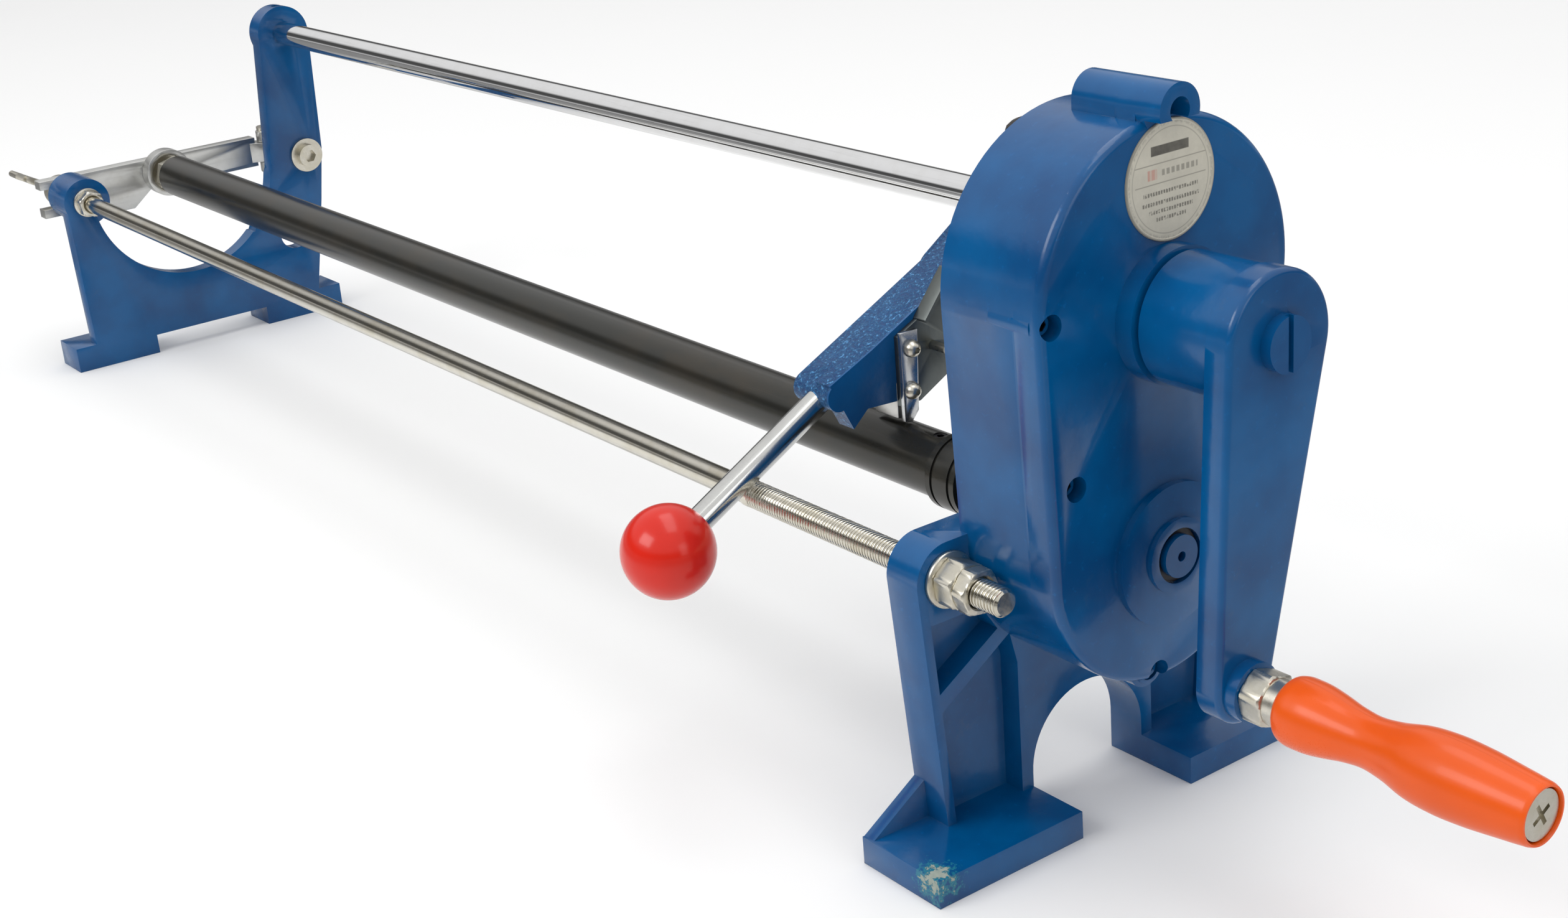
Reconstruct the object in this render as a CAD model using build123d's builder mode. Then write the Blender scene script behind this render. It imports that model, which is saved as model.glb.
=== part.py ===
"""Hand-cranked bench cutter: a geared head with a crank, a long turning mandrel between the head
and a far frame, a lever knife that slides on the rear guide rod, and a swing gate that carries the
mandrel's far end. X runs along the mandrel toward the crank, Y to the rear, Z up, millimetres.
The origin lies on the ground, under the middle of the machine's bounding box."""

from build123d import *
from math import acos, atan2, cos, hypot, pi, radians, sin, sqrt, tan
import os

# ---------------------------------------------------------------- driving dimensions
# Axes, as (across, height) measured from the ground point under the mandrel.
MANDREL = (0, 120)
CRANK = (0, 215)
TIE_ROD = (-69.7, 117)
GUIDE = (92, 206)
GRIP = (-18, 88.5)
HINGE_Y, HINGE_X = 80, -965
BALL = (-117.6, 107.4)

MANDREL_R, MANDREL_BORE_R = 14, 8.5
TIE_R, TIE_THREAD_R = 5.5, 6
GUIDE_R = 8
BALL_R = 20
FAR_BOSS_R = 19
WING_BORE_R = 6.2

# Stations along X, measured from the front face of the near feet.
STUD_END, GRIP_END = -981, 199
WING_TIP = -1003
FAR_FACE, FAR_BACK, FAR_FOOT_BACK = -933, -945, -965
MANDREL_START, MANDREL_END = -48, -940
CASE_BACK, CHAMBER_BACK, CASE_FRONT = -32, -24, 6
LEG_BACK, LEG_FRONT = -46, -28
COVER_BACK, COVER_FRONT = 7, 20

# Datum: the bounding box is centred on X and Y.
FEET_X = -(WING_TIP + GRIP_END) / 2
AXIS_Y = -((BALL[0] - BALL_R) + (GUIDE[0] + FAR_BOSS_R)) / 2

# Gear train
MODULE = 2
GEAR_TEETH, PINION_TEETH = 53, 42
PRESSURE_ANGLE = 20
BACKLASH = 0.34
GEAR_BACK, GEAR_FRONT = -21, -7
WEB_HOLES, WEB_HOLE_R, WEB_PITCH_R, GEAR_HUB_R = 6, 9, 33, 17
GAP = 0.05                      # radial running clearance

# Casing
WALL = 5
TOP_ARC, TOP_R = (1.5, 223.5), 64
LOW_ARC, LOW_R = (-2.5, 125), 56
CASE_SCREWS = [(-56.5, 223), (58, 214), (-47, 159.5), (47, 159.5), (-7, 72), (0, 290)]
SCREW_R, SCREW_HEAD_R, SCREW_BOSS_R = 2.5, 4.25, 6.5
EAR_R, LOW_EAR_R, EAR_FRONT = 10, 8.5, 13
SCREW_START, SCREW_SEAT, SCREW_HEAD_HIGH = -4, 9.5, 5
HOOD_FRONT = 28                 # top screw's hood
BOSS_BACK = -22.5               # inner face of the crank's rear boss
CRANK_BOSS_R, OUTPUT_BOSS_R, SEAL_LAND_R = 18, 24, 12.5

# Shafts and bearings
CRANK_SHAFT_R, BUSH_R = 9.5, 13.5
SPINDLE_R, SEAT_R = 10, 8.5
RACE_OUT_R, RACE_IN_R, BALL_PITCH_R, BEARING_BALL_R = 17.5, 11.6, 13, 2.9
BALLS = 9
REAR_BEARING, FRONT_BEARING = (-42, -32), (9, 19)

# Crank
HUB_R, ARM_TOP_R, ARM_LOW_R = 25, 26, 14
HUB_BACK, ARM_BACK, ARM_FRONT = 30.5, 63, 74
COVER_RING_R, COVER_RING_FRONT, SHAFT_HEAD_R = 26, COVER_FRONT + 8, 10.5
ARM_KEY_BACK, SHAFT_TIP = 55, 78.5
NUT_X, NUT_HIGH, GRIP_START = 79, 10, 95
GRIP_STUD_R, GRIP_SPINDLE_R, GRIP_FLANGE_R = 6, 5, 9

# Feet and arch
FOOT_IN, FOOT_OUT, FOOT_HIGH = 30.5, 105, 12
ARCH_R, ARCH_Z = 30.5, 18.5

# Carriage and lever
SLEEVE_IN_R, SLEEVE_R = GUIDE_R + GAP, 11
LEVER_BACK, LEVER_FRONT = -160, -136
HUB_BEHIND, HUB_AHEAD = -164, -146
COLLAR_BACK, COLLAR_FRONT = -145.5, -122.5
LEVER_ROD_X, LEVER_ROD_R = -147.5, 5.75
HUB_R_LEVER, COLLAR_R = 19, 18
KNOB_X = (COLLAR_BACK + COLLAR_FRONT) / 2
KNOB_LOW, KNOB_HIGH, KNOB_R = 235, 248, 22.3
BOSS_TOP, STEM_R, THREAD_R = GUIDE[1] + 23, 9, 4

# Keys, circlips and set screws
KEY_HALF = 3
CRANK_KEY, SPINDLE_KEY = (6, 12), (6.5, 12.5)   # heights above the shaft's axis
CIRCLIP, CRANK_CIRCLIP_X = 1.2, -6
SET_R, SET_HEX = 3, 1.5

NODES = []


# ---------------------------------------------------------------- helpers
def yz(x):
    """Plane across the machine at station x: Y to the right, Z up, zero under the mandrel."""
    return Plane(origin=(FEET_X + x, AXIS_Y, 0), x_dir=(0, 1, 0), z_dir=(1, 0, 0))


def point(x, y, z):
    """A point given by its station and its place from the ground point under the mandrel."""
    return (FEET_X + x, AXIS_Y + y, z)


def round_x(start, end, centre, radius, mode=Mode.ADD):
    """Add or cut a round bar along X between two stations."""
    with BuildSketch(yz(start)) as face:
        with Locations(centre):
            Circle(radius)
    extrude(face.sketch, amount=end - start, mode=mode)


def ring_x(start, end, centre, outer, inner):
    """Add a ring along X."""
    with BuildSketch(yz(start)) as face:
        with Locations(centre):
            Circle(outer)
            Circle(inner, mode=Mode.SUBTRACT)
    extrude(face.sketch, amount=end - start)


def hex_x(start, end, centre, flats, bore=0, turn=0):
    """Add a hexagon across the given flats, with a bore, along X."""
    with BuildSketch(yz(start)) as face:
        with Locations(centre):
            RegularPolygon(flats / 2, 6, major_radius=False, rotation=turn)
            if bore:
                Circle(bore, mode=Mode.SUBTRACT)
    extrude(face.sketch, amount=end - start)


def plate_x(start, end, points, mode=Mode.ADD):
    """Add or cut a straight-sided plate along X."""
    with BuildSketch(yz(start)) as face:
        with BuildLine() as edge:
            Polyline(*points, close=True)
        make_face(edge.edges())
    extrude(face.sketch, amount=end - start, mode=mode)


def strap_face(low, low_r, high, high_r):
    """Face of a strap with two round ends, in the sketch that is open."""
    a, b = Vector(*low), Vector(*high)
    along = (b - a).normalized()
    side = Vector(along.Y, -along.X)
    lean = (high_r - low_r) / (b - a).length
    square = sqrt(1 - lean * lean)
    right, left = side * square - along * lean, side * -square - along * lean
    with BuildLine() as edge:
        Line(a + right * low_r, b + right * high_r)
        ThreePointArc(b + right * high_r, b + along * high_r, b + left * high_r)
        Line(b + left * high_r, a + left * low_r)
        ThreePointArc(a + left * low_r, a - along * low_r, a + right * low_r)
    make_face(edge.edges())


def strap_x(start, end, low, low_r, high, high_r, mode=Mode.ADD):
    """Add or cut a strap with two round ends along X."""
    with BuildSketch(yz(start)) as face:
        strap_face(low, low_r, high, high_r)
    extrude(face.sketch, amount=end - start, mode=mode)


def round_z(low, high, x, y, radius, mode=Mode.ADD):
    """Add or cut an upright round bar."""
    with BuildSketch(Plane(origin=point(x, y, low))) as face:
        Circle(radius)
    extrude(face.sketch, amount=high - low, mode=mode)


def box_x(start, end, y_low, y_high, z_low, z_high, mode=Mode.ADD):
    """Add or cut a box given by its limits."""
    corners = [(y_low, z_low), (y_high, z_low), (y_high, z_high), (y_low, z_high)]
    plate_x(start, end, corners, mode)


def groove_x(start, width, centre, outer, inner):
    """Cut a groove round a shaft along X."""
    with BuildSketch(yz(start)) as face:
        with Locations(centre):
            Circle(outer)
            Circle(inner, mode=Mode.SUBTRACT)
    extrude(face.sketch, amount=width, mode=Mode.SUBTRACT)


def key_x(start, end, centre, heights, mode=Mode.ADD):
    """Add or cut a parallel key between two heights above a shaft's axis."""
    low, high = centre[1] + heights[0], centre[1] + heights[1]
    box_x(start, end, centre[0] - KEY_HALF, centre[0] + KEY_HALF, low, high, mode)


def set_screw(x, y, low, high):
    """Add an upright set screw with its hexagon socket."""
    round_z(low, high, x, y, SET_R)
    with BuildSketch(Plane(origin=point(x, y, high))) as socket:
        RegularPolygon(SET_HEX, 6, major_radius=False)
    extrude(socket.sketch, amount=-2, mode=Mode.SUBTRACT)


def keep(builder, name):
    """Label a finished piece and write it."""
    builder.part.label = name
    export_step(builder.part, f"parts/{name}.step")
    NODES.append(name)


def involute(angle):
    """Involute of a pressure angle in radians."""
    return tan(angle) - angle


def gear_points(teeth, centre, first):
    """Outline of a spur gear, one tooth's middle at the angle first, with involute flanks."""
    pitch = MODULE * teeth / 2
    base = pitch * cos(radians(PRESSURE_ANGLE))
    half = (pi * MODULE / 2 - BACKLASH) / 2 / pitch + involute(radians(PRESSURE_ANGLE))
    radii = [pitch - 1.25 * MODULE, pitch, pitch + MODULE]
    widths = [half - involute(acos(min(1, base / r))) for r in radii]
    points = []
    for tooth in range(teeth):
        middle = radians(first) + 2 * pi * tooth / teeth
        flank = [(r, middle - w) for r, w in zip(radii, widths)]
        flank += [(r, middle + w) for r, w in zip(reversed(radii), reversed(widths))]
        points += [(centre[0] + r * cos(a), centre[1] + r * sin(a)) for r, a in flank]
    return points


os.makedirs("parts", exist_ok=True)


# ---------------------------------------------------------------- geared head
def casing_body(start, end, shrink, mode=Mode.ADD):
    """The head's outline, a strap between two arcs, made smaller by shrink."""
    strap_x(start, end, LOW_ARC, LOW_R - shrink, TOP_ARC, TOP_R - shrink, mode)


def leg_outline(side):
    """Outline of one leg plate with its tie-rod lug, side -1 for the front leg."""
    lug_r = 15
    with BuildLine() as edge:
        top = TIE_ROD[1] + lug_r
        outer = TIE_ROD[0] - lug_r
        Line((0, top), (TIE_ROD[0], top))
        RadiusArc((TIE_ROD[0], top), (outer, TIE_ROD[1]), -lug_r)
        Line((outer, TIE_ROD[1]), (-75, 0))
        Line((-75, 0), (0, 0))
        Line((0, 0), (0, top))
    face = make_face(edge.edges(), mode=Mode.PRIVATE)
    add(face if side < 0 else mirror(face, about=Plane.YZ, mode=Mode.PRIVATE))


def leg_pockets(side):
    """The two recesses of one leg, either side of its slanting rib."""
    outer_top, outer_low, inner = (-79, 100), (-71.5, 10), -FOOT_IN - 6
    with BuildLine() as upper:
        Polyline(outer_top, (-54, 100), (-46, 88), (-76.5, 70), close=True)
    with BuildLine() as lower:
        Polyline((-75.8, 62), (-40, 84), (inner, 70), (inner, 10), outer_low, close=True)
    for loop in (upper, lower):
        face = make_face(loop.edges(), mode=Mode.PRIVATE)
        add(face if side < 0 else mirror(face, about=Plane.YZ, mode=Mode.PRIVATE))


with BuildPart() as gear_casing:
    casing_body(CASE_BACK, CASE_FRONT, 0)
    for side in (-1, 1):
        with BuildSketch(yz(LEG_BACK)) as leg:
            leg_outline(side)
        extrude(leg.sketch, amount=LEG_FRONT - LEG_BACK)
    # Arch between the legs.
    round_x(LEG_BACK, LEG_FRONT, (0, ARCH_Z), ARCH_R, Mode.SUBTRACT)
    box_x(LEG_BACK, LEG_FRONT, -ARCH_R, ARCH_R, 0, ARCH_Z, Mode.SUBTRACT)
    # Recesses in the legs' front faces, round the arch's rim.
    for side in (-1, 1):
        with BuildSketch(yz(LEG_FRONT)) as pocket:
            leg_pockets(side)
            with Locations((0, ARCH_Z)):
                Circle(ARCH_R + 6, mode=Mode.SUBTRACT)
        extrude(pocket.sketch, amount=-10, mode=Mode.SUBTRACT)
    # Feet with their gussets.
    for side in (-1, 1):
        ends = sorted((side * FOOT_IN, side * FOOT_OUT))
        box_x(LEG_BACK, 0, *ends, 0, FOOT_HIGH)
        gusset = [(side * 104, FOOT_HIGH), (side * 75, 30), (side * 70, FOOT_HIGH)]
        plate_x(LEG_BACK, LEG_BACK + 6, gusset)
    casing_body(CASE_BACK, CASE_FRONT, 0)
    # Rear ear for the guide rod.
    strap_x(LEG_BACK, LEG_BACK + 14, (45, 190), 16, GUIDE, 13)
    # Screw ears at the bottom and the top.
    round_x(-8, CASE_FRONT, CASE_SCREWS[4], LOW_EAR_R)
    round_x(-16, CASE_FRONT, CASE_SCREWS[5], EAR_R)
    box_x(-16, CASE_FRONT, -EAR_R, EAR_R, 274, 290)
    # Bearing bosses behind.
    round_x(-38, CASE_BACK, CRANK, CRANK_BOSS_R)
    round_x(LEG_BACK, CASE_BACK, MANDREL, OUTPUT_BOSS_R)
    # Gear chamber.
    casing_body(CHAMBER_BACK, CASE_FRONT, WALL, Mode.SUBTRACT)
    round_x(CHAMBER_BACK, BOSS_BACK, CRANK, CRANK_BOSS_R)
    for spot in CASE_SCREWS[:5]:
        round_x(-6, CASE_FRONT, spot, SCREW_BOSS_R)
    for spot in CASE_SCREWS:
        round_x(SCREW_START, CASE_FRONT, spot, SCREW_R, Mode.SUBTRACT)
    # Bores.
    round_x(-36, BOSS_BACK, CRANK, BUSH_R, Mode.SUBTRACT)
    round_x(LEG_BACK, REAR_BEARING[1], MANDREL, RACE_OUT_R, Mode.SUBTRACT)
    round_x(REAR_BEARING[1], CHAMBER_BACK, MANDREL, SEAL_LAND_R, Mode.SUBTRACT)
    round_x(LEG_BACK, LEG_FRONT, TIE_ROD, TIE_THREAD_R, Mode.SUBTRACT)
    round_x(LEG_BACK, LEG_BACK + 12, GUIDE, GUIDE_R, Mode.SUBTRACT)
    round_z(GUIDE[1], GUIDE[1] + 20, LEG_BACK + 6, GUIDE[0], SET_R, Mode.SUBTRACT)
keep(gear_casing, "gear_casing")

with BuildPart() as casing_gasket:
    casing_body(CASE_FRONT, COVER_BACK, 0)
    round_x(CASE_FRONT, COVER_BACK, CASE_SCREWS[4], LOW_EAR_R)
    round_x(CASE_FRONT, COVER_BACK, CASE_SCREWS[5], EAR_R)
    box_x(CASE_FRONT, COVER_BACK, -EAR_R, EAR_R, 274, 290)
    casing_body(CASE_FRONT, COVER_BACK, WALL, Mode.SUBTRACT)
    for spot in CASE_SCREWS[:5]:
        round_x(CASE_FRONT, COVER_BACK, spot, SCREW_BOSS_R)
    for spot in CASE_SCREWS:
        round_x(CASE_FRONT, COVER_BACK, spot, SCREW_R, Mode.SUBTRACT)
keep(casing_gasket, "casing_gasket")

with BuildPart() as gear_cover:
    casing_body(COVER_BACK, COVER_FRONT, 0)
    fillet(gear_cover.faces().sort_by(Axis.X)[-1].edges(), 3.5)
    round_x(COVER_BACK, EAR_FRONT, CASE_SCREWS[4], LOW_EAR_R)
    round_x(COVER_BACK, HOOD_FRONT, CASE_SCREWS[5], EAR_R)
    box_x(COVER_BACK, COVER_FRONT - 4, -EAR_R, EAR_R, 274, 290)
    box_x(COVER_FRONT, HOOD_FRONT, -EAR_R, EAR_R, 278, 287, Mode.SUBTRACT)
    # Raised rings round the crank hub and the output shaft.
    round_x(COVER_FRONT - 1, COVER_RING_FRONT, CRANK, COVER_RING_R)
    round_x(COVER_FRONT - 1, COVER_FRONT + 3, MANDREL, 28.5)
    round_x(COVER_FRONT - 1, COVER_FRONT + 5, MANDREL, 15)
    # Hollow behind, with the bosses that stay in it.
    casing_body(COVER_BACK, COVER_FRONT - WALL, WALL, Mode.SUBTRACT)
    round_x(COVER_BACK, COVER_FRONT, CRANK, 20)
    round_x(COVER_BACK, COVER_FRONT, MANDREL, 22)
    for spot in CASE_SCREWS[:5]:
        round_x(COVER_BACK, COVER_FRONT - WALL, spot, SCREW_BOSS_R)
    for spot in CASE_SCREWS:
        round_x(COVER_BACK, HOOD_FRONT, spot, SCREW_R, Mode.SUBTRACT)
        round_x(SCREW_SEAT, HOOD_FRONT, spot, SCREW_HEAD_R + 0.6, Mode.SUBTRACT)
    round_x(COVER_BACK, COVER_RING_FRONT, CRANK, BUSH_R, Mode.SUBTRACT)
    round_x(COVER_BACK, FRONT_BEARING[1], MANDREL, RACE_OUT_R, Mode.SUBTRACT)
    round_x(FRONT_BEARING[1], COVER_FRONT + 5, MANDREL, 11, Mode.SUBTRACT)
keep(gear_cover, "gear_cover")

with BuildPart() as cover_screws:
    for spot in CASE_SCREWS:
        round_x(SCREW_START, SCREW_SEAT, spot, SCREW_R)
        round_x(SCREW_SEAT, SCREW_SEAT + SCREW_HEAD_HIGH, spot, SCREW_HEAD_R)
        with BuildSketch(yz(SCREW_SEAT + SCREW_HEAD_HIGH)) as socket:
            with Locations(spot):
                RegularPolygon(2, 6, major_radius=False)
        extrude(socket.sketch, amount=-2.5, mode=Mode.SUBTRACT)
keep(cover_screws, "cover_screws")

with BuildPart() as data_plate:
    round_x(COVER_FRONT, COVER_FRONT + 0.8, (2.5, 263.7), 22.3)
keep(data_plate, "data_plate")

with BuildPart() as crank_bushes:
    ring_x(-36, BOSS_BACK, CRANK, BUSH_R, CRANK_SHAFT_R + GAP)
    ring_x(COVER_BACK, COVER_RING_FRONT, CRANK, BUSH_R, CRANK_SHAFT_R + GAP)
    ring_x(COVER_RING_FRONT, HUB_BACK - 0.5, CRANK, BUSH_R + 4, CRANK_SHAFT_R + GAP)
keep(crank_bushes, "crank_bushes")


def race(start, end, inner, outer):
    """One bearing race with its ball groove."""
    ring_x(start, end, MANDREL, outer, inner)
    middle = (start + end) / 2
    with BuildSketch(Plane(origin=point(middle, *MANDREL), z_dir=(0, -1, 0), x_dir=(1, 0, 0))) as groove:
        with Locations((0, BALL_PITCH_R)):
            Circle(BEARING_BALL_R + 0.1)
    revolve(groove.sketch, Axis(point(middle, *MANDREL), (1, 0, 0)), mode=Mode.SUBTRACT)


with BuildPart() as output_bearing_outer_races:
    for start, end in (REAR_BEARING, FRONT_BEARING):
        race(start, end, 14.4, RACE_OUT_R)
keep(output_bearing_outer_races, "output_bearing_outer_races")

with BuildPart() as output_bearing_inner_races:
    for start, end in (REAR_BEARING, FRONT_BEARING):
        race(start, end, SEAT_R, RACE_IN_R)
keep(output_bearing_inner_races, "output_bearing_inner_races")

with BuildPart() as output_bearing_balls:
    for start, end in (REAR_BEARING, FRONT_BEARING):
        for index in range(BALLS):
            turn = 2 * pi * index / BALLS
            across = MANDREL[0] + BALL_PITCH_R * cos(turn)
            height = MANDREL[1] + BALL_PITCH_R * sin(turn)
            with Locations(point((start + end) / 2, across, height)):
                Sphere(BEARING_BALL_R)
keep(output_bearing_balls, "output_bearing_balls")

with BuildPart() as output_seal:
    ring_x(LEG_BACK, REAR_BEARING[0], MANDREL, RACE_OUT_R, SEAT_R + GAP)
keep(output_seal, "output_seal")

# ---------------------------------------------------------------- crank
with BuildPart() as crank_shaft:
    round_x(-35.5, ARM_FRONT, CRANK, CRANK_SHAFT_R)
    round_x(ARM_FRONT, SHAFT_TIP, CRANK, SHAFT_HEAD_R)
    groove_x(CRANK_CIRCLIP_X, CIRCLIP, CRANK, CRANK_SHAFT_R + 1, CRANK_SHAFT_R - 1)
    key_x(GEAR_BACK, GEAR_FRONT, CRANK, CRANK_KEY, Mode.SUBTRACT)
    key_x(ARM_KEY_BACK, ARM_FRONT, CRANK, CRANK_KEY, Mode.SUBTRACT)
    slot_low, slot_high = CRANK[1] - SHAFT_HEAD_R - 1, CRANK[1] + SHAFT_HEAD_R + 1
    box_x(SHAFT_TIP - 2, SHAFT_TIP, -1.25, 1.25, slot_low, slot_high, Mode.SUBTRACT)
keep(crank_shaft, "crank_shaft")

with BuildPart() as crank_keys:
    key_x(GEAR_BACK, GEAR_FRONT, CRANK, CRANK_KEY)
    key_x(ARM_KEY_BACK, ARM_FRONT, CRANK, CRANK_KEY)
keep(crank_keys, "crank_keys")

with BuildPart() as drive_gear:
    plate_x(GEAR_BACK + 2, GEAR_FRONT - 2, gear_points(GEAR_TEETH, CRANK, -90))
    round_x(GEAR_BACK, GEAR_FRONT, CRANK, GEAR_HUB_R)
    round_x(GEAR_BACK, GEAR_FRONT, CRANK, CRANK_SHAFT_R, Mode.SUBTRACT)
    key_x(GEAR_BACK, GEAR_FRONT, CRANK, (0, CRANK_KEY[1]), Mode.SUBTRACT)
    for index in range(WEB_HOLES):
        turn = 2 * pi * index / WEB_HOLES
        spot = (CRANK[0] + WEB_PITCH_R * cos(turn), CRANK[1] + WEB_PITCH_R * sin(turn))
        round_x(GEAR_BACK, GEAR_FRONT, spot, WEB_HOLE_R, Mode.SUBTRACT)
keep(drive_gear, "drive_gear")

with BuildPart() as crank_circlip:
    ring_x(CRANK_CIRCLIP_X, CRANK_CIRCLIP_X + CIRCLIP, CRANK, CRANK_SHAFT_R + 2.5, CRANK_SHAFT_R - 1)
keep(crank_circlip, "crank_circlip")

with BuildPart() as crank_arm:
    strap_x(ARM_BACK, ARM_FRONT, GRIP, ARM_LOW_R, CRANK, ARM_TOP_R)
    fillet(crank_arm.faces().sort_by(Axis.X)[-1].edges(), 2.5)
    round_x(HUB_BACK, ARM_BACK + 2, CRANK, HUB_R)
    round_x(ARM_FRONT - 1, NUT_X, GRIP, 11.5)
    round_x(HUB_BACK, ARM_FRONT, CRANK, CRANK_SHAFT_R, Mode.SUBTRACT)
    key_x(ARM_KEY_BACK, ARM_FRONT, CRANK, (0, CRANK_KEY[1]), Mode.SUBTRACT)
    round_x(ARM_BACK, NUT_X, GRIP, GRIP_STUD_R, Mode.SUBTRACT)
keep(crank_arm, "crank_arm")

SPINDLE_TIP = GRIP_END - 4
with BuildPart() as handle_spindle:
    round_x(ARM_BACK, NUT_X + NUT_HIGH, GRIP, GRIP_STUD_R)
    round_x(NUT_X + NUT_HIGH, GRIP_START - 0.5, GRIP, GRIP_FLANGE_R)
    round_x(GRIP_START - 0.5, SPINDLE_TIP, GRIP, GRIP_SPINDLE_R)
    round_x(SPINDLE_TIP - 10, SPINDLE_TIP, GRIP, SET_R, Mode.SUBTRACT)
keep(handle_spindle, "handle_spindle")

with BuildPart() as handle_nut:
    hex_x(NUT_X, NUT_X + NUT_HIGH, GRIP, 19, GRIP_STUD_R, turn=12)
keep(handle_nut, "handle_nut")

with BuildPart() as handle_grip:
    stations = [(GRIP_START, 10.5), (98, 12.7), (105, 13), (113, 12.1), (123, 10.1), (131, 9.4), (140, 10.6)]
    stations += [(151, 13.2), (161, 14), (174, 13.7), (187, 12.4), (GRIP_END, 11.2)]
    section = Plane(origin=point(0, *GRIP), z_dir=(0, -1, 0), x_dir=(1, 0, 0))
    with BuildSketch(section) as half:
        with BuildLine() as edge:
            skin = Spline(*stations)
            bore = GRIP_SPINDLE_R + GAP
            Polyline(skin @ 1, (GRIP_END, 10), (SPINDLE_TIP, 10), (SPINDLE_TIP, bore))
            Polyline((SPINDLE_TIP, bore), (GRIP_START, bore), skin @ 0)
        make_face(edge.edges())
    revolve(half.sketch, Axis(point(0, *GRIP), (1, 0, 0)))
keep(handle_grip, "handle_grip")

with BuildPart() as handle_end_screw:
    round_x(SPINDLE_TIP + GAP, GRIP_END - 1, GRIP, GRIP_FLANGE_R)
    round_x(SPINDLE_TIP - 10, SPINDLE_TIP + GAP, GRIP, SET_R)
    for turn in (30, 120):
        with BuildSketch(yz(GRIP_END - 1)) as slot:
            with Locations(GRIP):
                Rectangle(9, 1.8, rotation=turn)
        extrude(slot.sketch, amount=-1.8, mode=Mode.SUBTRACT)
keep(handle_end_screw, "handle_end_screw")

# ---------------------------------------------------------------- mandrel and output spindle
SPINDLE_END, SPINDLE_TOP, COLLAR_X = -150, 26, (-104, -86)
SPINDLE_CIRCLIP_X = 22
with BuildPart() as output_spindle:
    round_x(SPINDLE_END, SPINDLE_TOP, MANDREL, SEAT_R)
    round_x(REAR_BEARING[1], FRONT_BEARING[0], MANDREL, SPINDLE_R)
    round_x(GEAR_BACK - 1, GEAR_BACK, MANDREL, SPINDLE_R + 3)
    key_x(GEAR_BACK, GEAR_FRONT, MANDREL, SPINDLE_KEY, Mode.SUBTRACT)
    groove_x(SPINDLE_CIRCLIP_X, CIRCLIP, MANDREL, SEAT_R + 1, SEAT_R - 1)
    round_x(SPINDLE_TOP - 3, SPINDLE_TOP, MANDREL, 2, Mode.SUBTRACT)
keep(output_spindle, "output_spindle")

with BuildPart() as spindle_circlip:
    ring_x(SPINDLE_CIRCLIP_X, SPINDLE_CIRCLIP_X + CIRCLIP, MANDREL, SEAT_R + 2, SEAT_R - 1)
keep(spindle_circlip, "spindle_circlip")

with BuildPart() as drive_pinion:
    plate_x(GEAR_BACK, GEAR_FRONT, gear_points(PINION_TEETH, MANDREL, 90 + 180 / PINION_TEETH))
    round_x(GEAR_BACK, GEAR_FRONT, MANDREL, SPINDLE_R, Mode.SUBTRACT)
    key_x(GEAR_BACK, GEAR_FRONT, MANDREL, (0, SPINDLE_KEY[1]), Mode.SUBTRACT)
keep(drive_pinion, "drive_pinion")

with BuildPart() as pinion_key:
    key_x(GEAR_BACK, GEAR_FRONT, MANDREL, SPINDLE_KEY)
keep(pinion_key, "pinion_key")

SET_SCREWS, STOP_R = (-112, -95), 16.5
with BuildPart() as mandrel:
    ring_x(MANDREL_END, MANDREL_START, MANDREL, MANDREL_R, MANDREL_BORE_R)
    for station in SET_SCREWS:
        round_z(MANDREL[1], MANDREL[1] + MANDREL_R + 1, station, 0, SET_R, Mode.SUBTRACT)
keep(mandrel, "mandrel")

with BuildPart() as mandrel_collar:
    ring_x(*COLLAR_X, MANDREL, STOP_R, MANDREL_R)
    for station in (COLLAR_X[0] + 3, COLLAR_X[1] - 4.5):
        groove_x(station, 1.5, MANDREL, STOP_R + 1, STOP_R - 0.8)
    round_z(MANDREL[1], MANDREL[1] + STOP_R + 1, SET_SCREWS[1], 0, SET_R, Mode.SUBTRACT)
keep(mandrel_collar, "mandrel_collar")

with BuildPart() as mandrel_set_screws:
    for station, top in zip(SET_SCREWS, (MANDREL_R - 0.5, STOP_R - 0.5)):
        set_screw(station, MANDREL[0], MANDREL[1] + MANDREL_BORE_R, MANDREL[1] + top)
keep(mandrel_set_screws, "mandrel_set_screws")

NUT_FACE = MANDREL_END - 11
CUP_FACE = -955


def cone_x(base, tip, base_r, tip_r, mode=Mode.ADD):
    """Add or cut a cone on the mandrel's axis between two stations."""
    section = Plane(origin=point(0, *MANDREL), z_dir=(0, -1, 0), x_dir=(1, 0, 0))
    with BuildSketch(section) as half:
        with BuildLine() as edge:
            Polyline((base, 0), (base, base_r), (tip, tip_r), (tip, 0), close=True)
        make_face(edge.edges())
    revolve(half.sketch, Axis(point(0, *MANDREL), (1, 0, 0)), mode=mode)


with BuildPart() as tail_nut:
    hex_x(NUT_FACE, MANDREL_END, MANDREL, 22, turn=15)
    round_x(MANDREL_END, MANDREL_END + 30, MANDREL, MANDREL_BORE_R)
    cone_x(NUT_FACE, NUT_FACE + 9, 6, 0.8, Mode.SUBTRACT)
keep(tail_nut, "tail_nut")

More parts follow.
